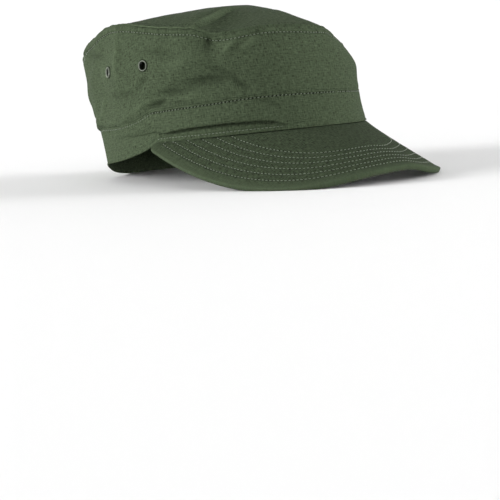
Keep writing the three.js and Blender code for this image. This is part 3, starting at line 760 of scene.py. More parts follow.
# %% The surface of the band
BUCKLE = (
    (-102, 17.5, 0), (-90, 13.5, 0.5), (-79.5, 9.5, 0.9), (-72, 6.6, 1.8), (-68.5, 7.4, 2.4),
    (-55.5, 9.2, 3), (-38.5, 9.3, 3), (-26, 7.7, 2.2), (-22, 5, 0.9), (-18, 2.5, 0),
)
BUCKLE_LIPS = [(turn, lip) for turn, lip, _ in BUCKLE]
BUCKLE_OUTS = [(turn, out) for turn, _, out in BUCKLE]
BUCKLE_STEP, BUCKLE_FADE, BUCKLE_DROOP, BUCKLE_MOST = 0.5, 12, 1.2, 3
BAND_CREASES = {
    "wedge before the buckle": (-26.6, 19.6, 18, 2.2, -28, -1),
    "faint crease at the side": (-84, 11.9, 45, 1.6, -7, -0.8),
    "left side crease": (70, 12, 36, 2.2, 6, -0.8),
    "back crease": (160, 14, 44, 2.6, -5, -0.8),
}
BAND_ROWS, BAND_STITCH, JOINT_STITCH = 78, RELIEF["band thread"][1], RELIEF["joint thread"][1]
# Past this turn the needle holes are kept out of sight, by a shift of their row.
HOLES_SHOW_TO, HOLES_HIDDEN = 78, 100
# How far the hem goes down near the visor's ends, in which share of the band, and at which turns
HEM_TUCK, HEM_TUCK_SHARE, HEM_TUCK_TURNS = 1.1, 0.2, (58, 64, VISOR_END_TURN, VISOR_END_TURN + 3)
# Turns between which the hem's roll is nearly flat, and between which the joint's thread pulls in.
FLAT_HEM, FLAT_HEM_SHARE, SEWN_JOINT = (-30, -16, 20, 45), 0.7, (-84, -76, -20, -14)


def buckle(turn):
    """The rise of the buckle's lip, and how far it hangs over."""
    side = nearest_turn(turn)
    return [smooth_curve(table, side, wraps=False) for table in (BUCKLE_LIPS, BUCKLE_OUTS)]


def band_out(turn, rise):
    side = nearest_turn(turn)
    lip, size = buckle(turn)
    over = size * np.where(rise < lip, smoothstep(rise, lip - BUCKLE_STEP, lip),
                           hill(rise - lip, 2 * BUCKLE_FADE))
    below = band_height(turn) - rise
    out = over + fold_sum(BAND_CREASES, turn, rise) + size * relief("under the buckle", rise - lip)
    out = out + sum(relief(name, below) for name in ("band edge groove", "band edge", "band thread"))
    roll = (1 - FLAT_HEM_SHARE * plateau(side, *FLAT_HEM)) * relief("hem roll", rise)
    out = out + roll + plateau(side, *SEWN_JOINT) * relief("joint thread", rise)
    return out + puckers("band top", turn, below) + puckers("band hem", turn, rise)


def band_surface(turn, rise):
    lip, size = buckle(turn)
    points = wall_points(turn, rise, band_out(turn, rise))
    droop = BUCKLE_DROOP * size / BUCKLE_MOST
    points[:, 2] -= droop * hill(rise - lip - 0.6, 6) * (rise > lip - BUCKLE_STEP)
    return points


# %% Lay the band
def band_place(u, v):
    turn = turn_at(u * LAP)
    away = np.abs(nearest_turn(turn))
    rise = band_height(turn) * v - HEM_TUCK * plateau(away, *HEM_TUCK_TURNS) * hill(v, HEM_TUCK_SHARE)
    points = band_surface(turn, rise)
    points = points + outward(turn) * unevenness("band", points)[:, None]
    below = band_height(turn) - rise + HOLES_HIDDEN * (away > HOLES_SHOW_TO)
    return points, (u * LAP, rise), (u * LAP, below), painted_fold_shading(BAND_CREASES, turn, rise)


band = lay("band_cloth", LAP_COLUMNS, BAND_ROWS, band_place)
sew_ends(band)
thicken(band, BAND_THICK)
finish_piece(band, ["headband"])

# %% [markdown]
# ## The visor
#
# The visor is a curved board between two layers of cloth, with rows of stitching that run along its
# edge. Its section is a closed loop: out along the underside, round the edge, back along the top and
# down again. So one grid can be wrapped round the whole board, and its two ends are filled. Each row
# of thread presses a furrow in both faces, so each corner first gets its distance from the edge.

# %% The visor's outline and faces
VISOR_FIRST_ROW, VISOR_ROW_STEP, VISOR_ROWS = 7.4, 5.9, 6
VISOR_ROWS_FROM_EDGE = [VISOR_FIRST_ROW + VISOR_ROW_STEP * row for row in range(VISOR_ROWS)]
VISOR_TRIM, VISOR_TRIM_SIDE, VISOR_TRIM_WIDTH = 0.012, 0.27, 0.24
# Ripples of the front edge: side, width, up
VISOR_RIPPLES = ((-0.08, 0.3, 1.5), (0.045, 0.11, 1.2), (0.2, 0.16, -0.5))
# Rounding of the far side: x, width, up
VISOR_ROUNDING = ((44, 26, 0.8), (68, 26, -1))


def visor_curve(x, y):
    forward = y + OPENING_HALF_LENGTH
    return VISOR_ROOT_HEIGHT + forward * math.tan(math.radians(VISOR_TILT)) - x ** 2 / (
        2 * VISOR_BEND_RADIUS)


def joint_lift(turn):
    hem = hem_points(turn)
    return hem[:, 2] - visor_curve(hem[:, 0], hem[:, 1])


VISOR_END = hem_points(np.array([VISOR_END_TURN]))[0]
VISOR_PAST = math.degrees(math.acos((VISOR_END[0] / VISOR_HALF_WIDTH) ** (VISOR_SQUARENESS / 2)))


def visor_edge(side):
    tip = -(OPENING_HALF_LENGTH + VISOR_LENGTH)
    rear = (VISOR_END[1] - VISOR_WIDEST_Y) / rounded(sin(VISOR_PAST), VISOR_SQUARENESS)
    angle = side * (90 + VISOR_PAST)
    reach = np.where(cos(angle) > 0, VISOR_WIDEST_Y - tip, rear)
    trim = 1 - VISOR_TRIM * hill(side - VISOR_TRIM_SIDE, VISOR_TRIM_WIDTH)
    x = VISOR_HALF_WIDTH * rounded(sin(angle), VISOR_SQUARENESS) * trim
    forward = reach * rounded(cos(angle), VISOR_SQUARENESS) * trim
    return np.stack([x, VISOR_WIDEST_Y - forward, 0 * side], -1)


def visor_ease(side, part, x):
    """How far the worn visor stands above its even bend."""
    ripple = sum(up * hill(side - at, width) for at, width, up in VISOR_RIPPLES) * part ** 3
    rounding = sum(up * hill(x - at, width) for at, width, up in VISOR_ROUNDING)
    return ripple + rounding * smoothstep(part, 0, 0.25) * (1 - smoothstep(part, 0.86, 1))


def visor_surface(side, part):
    root = hem_points(side * (VISOR_END_TURN - VISOR_ROOT_MARGIN))
    points = root * (1 - part)[:, None] + visor_edge(side) * part[:, None]
    lift = joint_lift(side * (VISOR_END_TURN - VISOR_ROOT_MARGIN * (1 - part)))
    hold = np.abs(side) ** VISOR_END_HOLD
    points[:, 2] = visor_curve(points[:, 0], points[:, 1]) + lift * (
        hold + (1 - hold) * (1 - part) ** 2) - 0.3
    points[:, 2] += visor_ease(side, part, points[:, 0])
    return points


def visor_normal(side, part):
    reach = 0.01
    at, part = np.clip(side, -0.99, 0.99), np.minimum(part, 0.99)
    along = visor_surface(at + reach, part) - visor_surface(at - reach, part)
    outwards = visor_surface(at, part + reach) - visor_surface(at, part)
    normal = np.cross(outwards, along)
    return normal / np.linalg.norm(normal, axis=1, keepdims=True)


# %% Lengths along the visor's edge and distances from it
def run_lengths(path):
    """How far along a path each of its points lies."""
    return np.concatenate([[0], np.cumsum(np.linalg.norm(np.diff(path, axis=0), axis=1))])


fine_sides = np.linspace(-1, 1, 4001)
edge_line = visor_surface(fine_sides, np.ones(len(fine_sides)))
edge_arcs = run_lengths(edge_line)
EVERY_TENTH, BLOCK = 10, 4000
print("visor edge:", round(edge_arcs[-1], 1), "mm")


def side_at(share):
    """The side at a share of the way along the visor's edge."""
    return np.interp(share * edge_arcs[-1], edge_arcs, fine_sides)


def edge_distance(points):
    """The distance of each point from the visor's edge, worked out in blocks to save memory."""
    line = edge_line[::EVERY_TENTH]
    return np.concatenate([
        np.linalg.norm(points[start:start + BLOCK, None] - line[None], axis=2).min(1)
        for start in range(0, len(points), BLOCK)])


# %% Where each row of stitching runs, at an even distance from the edge
ROW_SIDES, ROW_PARTS, ROW_END = 260, 61, 0.004


def visor_row(distance):
    """The sides that a row crosses, and its points there."""
    sides = side_at(np.linspace(ROW_END, 1 - ROW_END, ROW_SIDES))
    side, part = np.meshgrid(sides, np.linspace(0, 1, ROW_PARTS), indexing="ij")
    points = visor_surface(side.ravel(), part.ravel())
    away = edge_distance(points).reshape(side.shape)
    points = points.reshape(*side.shape, 3)
    crossed = away[:, 0] > distance
    path = [[np.interp(-distance, -distances, column[:, k]) for k in range(3)]
            for column, distances in zip(points[crossed], away[crossed])]
    return sides[crossed], np.array(path)


visor_runs = [visor_row(distance) for distance in VISOR_ROWS_FROM_EDGE]
for distance, (_, path) in zip(VISOR_ROWS_FROM_EDGE, visor_runs):
    print("row", round(distance, 1), "mm from the edge:", round(run_lengths(path)[-1]), "mm long")


def along_rows(side, away):
    """How far along the nearest rows a place lies, so that needle holes fall between stitches."""
    runs = np.array([np.interp(side, sides, run_lengths(path)) for sides, path in visor_runs])
    step = np.clip((away - VISOR_FIRST_ROW) / VISOR_ROW_STEP, 0, VISOR_ROWS - 1)
    row = np.minimum(step.astype(int), VISOR_ROWS - 2)
    places = np.arange(len(side))
    return runs[row, places] * (1 - step + row) + runs[row + 1, places] * (step - row)


# %% Lay the visor
VISOR_COLUMNS, VISOR_FACE_ROWS, VISOR_RIM_ROWS = 250, 84, 8
VISOR_BEAD, VISOR_EDGE_DROOP, VISOR_EDGE_REACH, VISOR_TUCK = 0.9, 0.3, 8, 1.6
# The visor slopes, so its cloth is longer than its plan.
SLOPE_LENGTH = 1.06


# The loop round the board: part along each face, and the angle round the edge.
face = np.linspace(0, 1, VISOR_FACE_ROWS + 1)
rim = np.linspace(-90, 90, VISOR_RIM_ROWS + 1)[1:-1]
PART_LOOP = np.concatenate([face, np.ones(len(rim)), face[::-1], [0]])
ANGLE_LOOP = np.concatenate([np.full(len(face), -90), rim, np.full(len(face), 90), [-90]])
VISOR_LOOP_ROWS = len(PART_LOOP) - 1


def visor_place(u, v):
    step = np.round(v * VISOR_LOOP_ROWS).astype(int)
    part, angle = PART_LOOP[step], ANGLE_LOOP[step]
    side = side_at(u)
    top = visor_surface(side, part)
    normal = visor_normal(side, part)
    away = edge_distance(top)
    furrows = sum(relief("visor thread", away - row) for row in VISOR_ROWS_FROM_EDGE)
    swell = unevenness("visor, fine", top) + unevenness("visor, broad", top)
    half = VISOR_THICK / 2 + furrows + swell + relief("visor edge cord", away)
    reach = 0.02
    inner = np.minimum(part, 1 - reach)
    outwards = visor_surface(side, inner + reach) - visor_surface(side, inner)
    outwards /= np.linalg.norm(outwards, axis=1, keepdims=True)
    middle = top - normal * VISOR_THICK / 2
    points = middle + normal * (half * sin(angle))[:, None]
    points = points + outwards * (VISOR_BEAD * np.abs(cos(angle)))[:, None]
    points[:, 2] -= VISOR_EDGE_DROOP * (1 - smoothstep(away, 0, VISOR_EDGE_REACH))
    points = points - outward(side * VISOR_END_TURN) * (VISOR_TUCK * (part == 0))[:, None]
    down = (top[:, 1] + OPENING_HALF_LENGTH) * SLOPE_LENGTH
    return points, (top[:, 0] + UV_SHIFT, down + UV_SHIFT), (along_rows(side, away), away), None


visor = lay("visor_cloth", VISOR_COLUMNS, VISOR_LOOP_ROWS, visor_place)
sew_ends(visor, closes=True)
finish_piece(visor, ["visor"], sharp_degrees=80)

# %% [markdown]
# ## Stitches
#
# A row of topstitching is the same stitch some hundreds of times. One stitch is modelled from a
# short six-sided rod: it is cut across at four places with bisect, and its ends are bent down to
# where they enter the cloth. Copies of it are then set along a path, each one seated on the nearest
# point of the finished cloth and turned to stand on it. The needle goes through the visor's board,
# so the same rows show underneath. The crown's and the band's rows are not repeated inside.

# %% Model one stitch
STITCH_CUTS = (-0.42, -0.2, 0.2, 0.42)
THREAD_SIDES, STITCH_SLIM, STITCH_DIP = 6, 0.35, 1.6


def model_stitch(length, radius):
    """The corners and faces of one stitch along X, in millimetres."""
    bpy.ops.object.select_all(action="DESELECT")
    bpy.ops.mesh.primitive_cylinder_add(vertices=THREAD_SIDES, radius=radius, depth=length,
                                        rotation=(0, math.pi / 2, 0))
    stitch = bpy.context.active_object
    bpy.ops.object.transform_apply(location=True, rotation=True, scale=True)
    edit_all(stitch)
    for cut in STITCH_CUTS:
        bpy.ops.mesh.select_all(action="SELECT")
        bpy.ops.mesh.bisect(plane_co=(cut * length, 0, 0), plane_no=(1, 0, 0))
    bpy.ops.object.mode_set(mode="OBJECT")
    points = corners(stitch)
    along = np.abs(points[:, 0]) / (length / 2)
    slim = 1 - STITCH_SLIM * along ** 3
    points[:, 1] *= slim
    points[:, 2] = points[:, 2] * slim - STITCH_DIP * radius * along ** 2.5
    faces = [tuple(face.vertices) for face in stitch.data.polygons]
    bpy.data.objects.remove(stitch)
    return points, faces


# %% Set rows of stitches on a piece of cloth
STITCH_PITCH, VISOR_PITCH, STITCH_SHARE, STITCH_SINK = 2.6, 2.7, 0.64, 0.03
PRESSED_FLAT = 0.8
# A stitch's heading is taken over this many millimetres before and behind it.
LOOK = (0, 0.4, -0.4)


def round_the_head(surface, rise_of, first=-180, last=180):
    """Even stitches round the head: their middles and headings, in millimetres."""
    count = round(LAP / STITCH_PITCH)
    arcs = (np.arange(count) + 0.5) * LAP / count
    arcs = arcs[(turn_at(arcs) > first) & (turn_at(arcs) < last)]
    middle, ahead, behind = (turn_at(arcs + step) for step in LOOK)
    heading = surface(ahead, rise_of(ahead)) - surface(behind, rise_of(behind))
    return surface(middle, rise_of(middle)), heading


def along_path(path, pitch):
    lengths = run_lengths(path)
    at = (np.arange(int(lengths[-1] / pitch)) + 0.5) * pitch
    middle, ahead, behind = (
        np.stack([np.interp(at + step, lengths, path[:, k]) for k in range(3)], -1) for step in LOOK)
    return middle, ahead - behind


def stitch_rows(name, rows, cloth, radius, pitch=STITCH_PITCH, slant=0):
    """Seats a stitch on the cloth at each middle, along its heading and turned by the slant.

    Where the cloth is pressed against the floor, the thread lies hidden in it and is left out.
    """
    points, faces = model_stitch(pitch * STITCH_SHARE, radius)
    tree = BVHTree.FromObject(cloth, bpy.context.evaluated_depsgraph_get())
    all_points, all_faces = [], []
    for middles, headings in rows:
        for middle, heading in zip(to_row_frame(middles), headings):
            seat, normal, _, _ = tree.find_nearest(Vector(middle))
            if seat.z < PRESSED_FLAT * MILLIMETRE:
                continue
            along = Vector(heading)
            along = (along - normal * along.dot(normal)).normalized()
            along.rotate(Matrix.Rotation(math.radians(slant), 3, normal))
            axes_of_stitch = np.array([along, normal.cross(along), normal])
            start = len(all_points) * len(points)
            all_points.append(points * MILLIMETRE @ axes_of_stitch + np.array(
                seat + normal * (radius - STITCH_SINK) * MILLIMETRE))
            all_faces += [tuple(corner + start for corner in face) for face in faces]
    mesh = bpy.data.meshes.new(name)
    mesh.from_pydata(np.concatenate(all_points).tolist(), [], all_faces)
    print(name, "-", len(all_points), "stitches")
    return finish_piece(add_object(name, mesh), [], sharp_degrees=70)


# %% Topstitching of the crown and the band
rim_stitches = stitch_rows(
    "crown_rim_stitching", [round_the_head(crown_surface, lambda turn: wall_height(turn) - RIM_STITCH)],
    crown_side, 0.26)
band_stitches = stitch_rows(
    "band_seam_stitching", [round_the_head(band_surface, lambda turn: band_height(turn) - BAND_STITCH)],
    band, 0.27, slant=22)
joint_stitches = stitch_rows(
    "visor_joint_stitching", [round_the_head(band_surface, lambda turn: 0 * turn + JOINT_STITCH, -77, -21)],
    band, 0.24)

# %% Rows of stitching along the visor, on top and underneath
THROUGH_BOARD = np.array([0, 0, VISOR_THICK + 1])


def visor_stitching(name, depth, radius):
    rows = [along_path(path - depth * THROUGH_BOARD, VISOR_PITCH) for _, path in visor_runs]
    return stitch_rows(name, rows, visor, radius, pitch=VISOR_PITCH)


visor_stitches = visor_stitching("visor_stitching", 0, 0.27)
visor_under_stitches = visor_stitching("visor_under_stitching", 1, 0.22)
print("lowest stitch:", round(float(corners(visor_under_stitches)[:, 2].min()), 5), "m")

# %% [markdown]
# ## Vent eyelets
#
# A pressed eyelet is a ring of sheet metal: a rounded flange on the cloth and a barrel through it. It
# is a turned shape, so its section is drawn once, as a small circle that is pressed into the section
# of the flange and barrel, and is spun round the eyelet's axis. The other three are copies. Light
# hardly reaches into the barrel, so its corners get a mark that the paint reads to stay dark.

# %% Spin one eyelet and set it in its four places
EYELET_SECTION = (
    (2.9, -1.3), (2.98, -1.45), (3.06, -1.3), (3.1, -0.2), (3.4, -0.1), (3.58, 0.12), (3.6, 0.55),
    (3.52, 0.85), (3.36, 1.0), (3.16, 0.85), (2.98, 0.4), (2.9, -0.5),
)
EYELET_STEPS = 40
# Inside this radius and below this height, in millimetres, the metal stays dark.
BARREL_RADIUS, BARREL_TOP = 3.12, 0.45


def model_eyelet():
    bpy.ops.object.select_all(action="DESELECT")
    bpy.ops.mesh.primitive_circle_add(vertices=len(EYELET_SECTION), radius=1)
    ring = bpy.context.active_object
    move_corners(ring, np.array([(r, 0, z) for r, z in EYELET_SECTION]) * MILLIMETRE)
    edit_all(ring)
    bpy.ops.mesh.spin(steps=EYELET_STEPS, angle=2 * math.pi, center=(0, 0, 0), axis=(0, 0, 1))
    bpy.ops.mesh.select_all(action="SELECT")
    bpy.ops.mesh.remove_doubles(threshold=DOUBLES)
    bpy.ops.mesh.normals_make_consistent(inside=False)
    bpy.ops.object.mode_set(mode="OBJECT")
    smooth = ring.modifiers.new("Round", "SUBSURF")
    smooth.levels = smooth.render_levels = 1
    bpy.ops.object.modifier_apply(modifier=smooth.name)
    x, y, height = corners(ring).T / MILLIMETRE
    inside = smoothstep(BARREL_RADIUS - np.hypot(x, y), 0, 0.08)
    write_marks(ring, "barrel", inside * smoothstep(BARREL_TOP - height, 0, 0.3))
    return ring


master = model_eyelet()
eyelet_pieces = []
for node_name, middle in zip(EYELETS, hole_middles):
    normal = surface_place(crown_surface, *EYELETS[node_name])[1]
    turned = Vector(normal).to_track_quat("Z", "Y").to_matrix().to_4x4()
    piece = add_object(node_name + "_ring", master.data.copy())
    piece.data.transform(Matrix.Translation(Vector(middle)) @ turned)
    eyelet_pieces.append(finish_piece(piece, [node_name]))
bpy.data.objects.remove(master)

# %% [markdown]
# ## Cloth, thread and paint
#
# Ripstop is a plain weave with thicker threads every two millimetres or so, which make a faint grid.
# Three effects are shared by the finishes, so each is a node group: the weave, the mottled dye, and
# the needle holes along a row of stitches. The groups give only masks and heights. The shader, with
# its sheen and roughness, stays in each material. The colour is laid in thin layers: the grid, the
# patches, a painted highlight on the crests and painted shade in the hollows, a painted highlight
# along the visor's edge, a ring of painted shade where the cloth is pinched round each eyelet, and
# painted shade in the needle holes.

# %% Helpers that build node trees
class Value:
    """A number in a node tree, so that a formula is written with + - * / as usual."""

    def __init__(self, socket):
        self.socket, self.tree = socket, socket.id_data

    def __add__(self, other):
        return calc("ADD", self, other)

    def __sub__(self, other):
        return calc("SUBTRACT", self, other)

    def __rsub__(self, other):
        return calc("SUBTRACT", other, self)

    def __mul__(self, other):
        return calc("MULTIPLY", self, other)

    def __truediv__(self, other):
        return calc("DIVIDE", self, other)

    def clamped(self):
        self.socket.node.use_clamp = True
        return self


def fill_inputs(node, inputs):
    """Links each input that is given a value from a node, and sets the others."""
    for name, value in inputs.items():
        socket = node.inputs[name]
        if isinstance(value, Value):
            value.tree.links.new(value.socket, socket)
        else:
            socket.default_value = (*value, 1) if socket.type == "RGBA" else value


def make_node(tree, kind, inputs, **settings):
    """Makes a node and gives back its outputs as values."""
    node = tree.nodes.new(kind)
    for name, value in settings.items():
        setattr(node, name, value)
    fill_inputs(node, inputs)
    return [Value(output) for output in node.outputs]


def calc(operation, *values):
    tree = next(value.tree for value in values if isinstance(value, Value))
    return make_node(tree, "ShaderNodeMath", dict(enumerate(values)), operation=operation)[0]


def vector_calc(operation, vector, other):
    """Both outputs of a vector node: the vector and the number."""
    inputs = {0: vector, 1: other}
    return make_node(vector.tree, "ShaderNodeVectorMath", inputs, operation=operation)


def split(vector):
    return make_node(vector.tree, "ShaderNodeSeparateXYZ", {0: vector})


def cloud(place, scale, detail):
    inputs = {"Vector": place, "Scale": scale, "Detail": detail}
    return make_node(place.tree, "ShaderNodeTexNoise", inputs)[0]


def new_group(name, inputs):
    """Makes a node group. An input with no default is a vector."""
    tree = bpy.data.node_groups.new(name, "ShaderNodeTree")
    for socket, default in inputs.items():
        kind = "NodeSocketVector" if default is None else "NodeSocketFloat"
        made = tree.interface.new_socket(name=socket, in_out="INPUT", socket_type=kind)
        if default is not None:
            made.default_value = default
    entry = tree.nodes.new("NodeGroupInput")
    return tree, [Value(entry.outputs[socket]) for socket in inputs]


def group_outputs(tree, values):
    for name in values:
        tree.interface.new_socket(name=name, in_out="OUTPUT", socket_type="NodeSocketFloat")
    make_node(tree, "NodeGroupOutput", values)


# %% The weave group: thread relief, the ripstop grid and uneven yarn
weave_tree, (flat, thread, grid) = new_group(
    "ripstop weave", {"Flat": None, "Thread": 0.0004, "Grid": 0.0023})
SLUB_LONG, SLUB_WIDE, SLUB_CONTRAST, GRID_SHARPNESS = 300, 1600, 1.6, 5
across_cloth, up_cloth, _ = split(flat)
waves, lines, slubs = [], [], []
for along, stretch in ((across_cloth, (SLUB_WIDE, SLUB_LONG, 1)), (up_cloth, (SLUB_LONG, SLUB_WIDE, 1))):
    waves.append(calc("SINE", along / thread * (2 * math.pi)))
    swing = calc("COSINE", along / grid * (2 * math.pi))
    lines.append(calc("POWER", swing * 0.5 + 0.5, GRID_SHARPNESS))
    slubs.append(cloud(vector_calc("MULTIPLY", flat, stretch)[0], 1, 2))
group_outputs(weave_tree, {
    "Threads": waves[0] * waves[1] * 0.5 + 0.5,
    "Grid lines": calc("MAXIMUM", *lines),
    "Slubs": ((slubs[0] + slubs[1] - 1) * SLUB_CONTRAST + 0.5).clamped()})

# %% The dye group: mottling of the yarn and broad, soft patches
dye_tree, (dye_place,) = new_group("mottled dye", {"Place": None})
group_outputs(dye_tree, {"Fine": cloud(dye_place, 900, 3), "Broad": cloud(dye_place, 22, 2)})

# %% The needle group: painted shade in a small hole between one stitch and the next
needle_tree, (seam_place, pitch, first_row, row_step, last_row, hole_radius) = new_group(
    "needle holes", {"Along seam": None, "Pitch": 0.0026, "Row": 0.002, "Row step": 1, "Last": 1,
                     "Radius": 0.0006})
HOLE_SOFTNESS = 1.4
seam_along, seam_away, _ = split(seam_place)


def from_nearest(place, step, start=0):
    """The distance to the nearest whole number of steps from the start."""
    return (calc("FRACT", (place - start) / step + 0.5) - 0.5) * step


along = from_nearest(seam_along, pitch)
across = from_nearest(seam_away, row_step, first_row)
past_first = calc("GREATER_THAN", seam_away, row_step * -0.5 + first_row)
in_rows = past_first * calc("LESS_THAN", seam_away, last_row)
distances = {"Hole": calc("SQRT", along * along + across * across), "Furrow": calc("ABSOLUTE", across)}
group_outputs(needle_tree, {
    name: (HOLE_SOFTNESS - distance / hole_radius).clamped() * in_rows
    for name, distance in distances.items()})
print("node groups:", [tree.name for tree in bpy.data.node_groups])

# %% Helpers that build a material
def new_material(name):
    material = bpy.data.materials.new(name)
    material.use_nodes = True
    return material, material.node_tree, material.node_tree.nodes["Principled BSDF"]


def coordinates(tree, kind):
    return Value(tree.nodes.new("ShaderNodeTexCoord").outputs[kind])


def use_group(tree, group, inputs):
    return make_node(tree, "ShaderNodeGroup", inputs, node_tree=group)


def dye_of(tree):
    """The fine mottling and the broad patches."""
    return use_group(tree, dye_tree, {"Place": coordinates(tree, "Object")})


def uv_of(tree, name):
    return make_node(tree, "ShaderNodeUVMap", {}, uv_map=name)[0]


def marks_of(tree, name):
    _, _, number, _ = make_node(tree, "ShaderNodeAttribute", {}, attribute_name=name)
    return number


def blend(factor, first, second):
    """A colour between two others. The node itself keeps the factor between 0 and 1."""
    inputs = {"Factor": factor, 6: first, 7: second}
    return make_node(factor.tree, "ShaderNodeMix", inputs, data_type="RGBA")[2]


def scaled(colour, by):
    return tuple(channel * by for channel in colour)


# %% Cloth material
# The layers of the cloth's colour: the share of the mask, and the shade that it brings. The grid lines and
# patches are the cloth's own tone; the other layers are painted highlight and painted shade.
SHADES = {
    "grid lines": (0.35, 1.5), "patches": (0.3, 0.8), "painted_fold_shading": (0.42, 1.9), "painted_hollow_shade": (-0.42, 0.35),
    "painted edge highlight": (0.7, 1.7), "pinches": (0.85, 0.2),
}
# The relief of the cloth, in shares of its depth
RELIEF_DEPTH, RELIEF_STRENGTH = 0.00016, 0.9
THREAD_RELIEF, GRID_RELIEF, SLUB_RELIEF, FURROW_RELIEF = 0.4, 0.8, 1.6, 0.8
CLOTH_SHEEN, CLOTH_ROUGHNESS, CLOTH_SHINE, HOLE_SHADE = 0.005, 0.85, 0.03, 0.1
PINCH_REACH, PINCH_FADE = 0.0039, 0.0009


def pinch_mask(place, middles):
    """1 close round each eyelet, where the flange pinches the cloth and keeps the light off it."""
    nearest = 1
    for middle in middles:
        nearest = calc("MINIMUM", nearest, vector_calc("DISTANCE", place, middle)[1])
    return (1 - (nearest - PINCH_REACH) / PINCH_FADE).clamped()


def cloth_material(name, colour, rows, hole_depth, contrast=0.75, edge_highlight_reach=0, pinches=()):
    """rows are the needle group's settings: pitch, first row, step, last and radius, in metres."""
    material, tree, shader = new_material(name)
    seam = uv_of(tree, "seam")
    threads, grid_lines, slub = use_group(tree, weave_tree, {"Flat": uv_of(tree, "weave")})
    hole, furrow = use_group(tree, needle_tree, {"Along seam": seam, **rows})
    fine, broad = dye_of(tree)
    fold_shading_mark = marks_of(tree, "fold_shading_mark")
    # Masks of the cloth's own tone, and of painted highlight and painted shade on its folds, edge and
    # eyelets
    masks = {"grid lines": grid_lines, "patches": broad, "painted_fold_shading": fold_shading_mark, "painted_hollow_shade": fold_shading_mark}
    # A painted highlight along the visor's edge, fading out at this distance from it
    if edge_highlight_reach:
        masks["painted edge highlight"] = (1 - split(seam)[1] / edge_highlight_reach).clamped()
    if pinches:
        masks["pinches"] = pinch_mask(coordinates(tree, "Object"), pinches)
    base = blend(slub, scaled(colour, 1 - contrast), scaled(colour, 1 + contrast))
    for layer, mask in masks.items():
        share, shade = SHADES[layer]
        base = blend(mask * share, base, scaled(colour, shade))
    # Painted shade in the needle holes
    base = blend(hole * hole_depth, base, scaled(colour, HOLE_SHADE))
    height = threads * THREAD_RELIEF + grid_lines * GRID_RELIEF + slub * SLUB_RELIEF
    relief_inputs = {"Distance": RELIEF_DEPTH, "Strength": RELIEF_STRENGTH,
                     "Height": height - furrow * FURROW_RELIEF}
    fill_inputs(shader, {
        "Base Color": base, "Normal": make_node(tree, "ShaderNodeBump", relief_inputs)[0],
        "Roughness": fine * 0.1 + CLOTH_ROUGHNESS, "Sheen Weight": CLOTH_SHEEN,
        "Sheen Roughness": 0.5, "Specular IOR Level": CLOTH_SHINE})
    return material


def one_row(distance):
    return {"Pitch": LAP / round(LAP / STITCH_PITCH) * MILLIMETRE, "Row": distance * MILLIMETRE}


# %% The three cloths
OLIVE = (0.0432, 0.0581, 0.0333)
visor_rows = {"Pitch": VISOR_PITCH * MILLIMETRE, "Row": VISOR_FIRST_ROW * MILLIMETRE,
              "Row step": VISOR_ROW_STEP * MILLIMETRE,
              "Last": (VISOR_ROWS_FROM_EDGE[-1] + VISOR_ROW_STEP / 2) * MILLIMETRE, "Radius": 0.0007}
crown_cloth = cloth_material("crown ripstop", OLIVE, one_row(RIM_STITCH), 0.6, pinches=hole_middles)
band_cloth = cloth_material("band ripstop", OLIVE, {**one_row(BAND_STITCH), "Radius": 0.00065}, 0.95)
# The visor's cloth is the crown's ripstop, made a quarter darker as painted shade on its top.
visor_cloth = cloth_material("visor ripstop", scaled(OLIVE, 0.75), visor_rows, 0.8, contrast=0.95,
                             edge_highlight_reach=0.008)

# %% Thread and paint
THREAD_CONTRAST, THREAD_SHEEN = 0.3, 0.2
WORN_ABOVE, WORN_SHINE, BARREL_SHADE = 0.66, 0.8, 0.03


def thread_material(name, colour):
    material, tree, shader = new_material(name)
    fine = dye_of(tree)[0]
    base = blend(fine, scaled(colour, 1 - THREAD_CONTRAST), scaled(colour, 1 + THREAD_CONTRAST))
    fill_inputs(shader, {"Base Color": base, "Roughness": fine * 0.2 + 0.4, "Sheen Weight": THREAD_SHEEN})
    return material


def paint_material(name, colour, metal):
    material, tree, shader = new_material(name)
    fine, broad = dye_of(tree)
    worn = calc("GREATER_THAN", fine, WORN_ABOVE)
    base = blend(marks_of(tree, "barrel"), blend(worn, colour, metal), scaled(colour, BARREL_SHADE))
    fill_inputs(shader, {"Base Color": base, "Roughness": broad * 0.2 + 0.4,
                         "Metallic": worn * WORN_SHINE})
    return material


def dress(piece, material):
    piece.data.materials.clear()
    piece.data.materials.append(material)


dark_thread = thread_material("seam thread", scaled(OLIVE, 1.5))
# The visor's thread is the seam thread made lighter as a painted highlight for its shine.
visor_thread = thread_material("visor thread", scaled(OLIVE, 1.9))
eyelet_paint = paint_material("eyelet paint", (0.17, 0.195, 0.15), (0.42, 0.45, 0.39))
for material, pieces in (
        (crown_cloth, [crown_side, crown_top]), (band_cloth, [band]), (visor_cloth, [visor]),
        (dark_thread, [rim_stitches, band_stitches, joint_stitches]),
        (visor_thread, [visor_stitches, visor_under_stitches]), (eyelet_paint, eyelet_pieces)):
    for piece in pieces:
        dress(piece, material)
print("materials:", [material.name for material in bpy.data.materials])

# %% [markdown]
# ## Floor, light and camera
#
# The cap lies on a plain pale floor. The room is like a light tent: its walls glow and its ceiling
# is dim, so upright cloth is lighter than the visor's top. Two broad, low suns stand at the sides
# like large windows, the left one stronger. They graze the wall, so its hollows stay dark and its
# folds show. A weak one overhead keeps the top from going dull. The camera stands a little above the
# floor with a long lens, so the cap's shape isn't stretched.

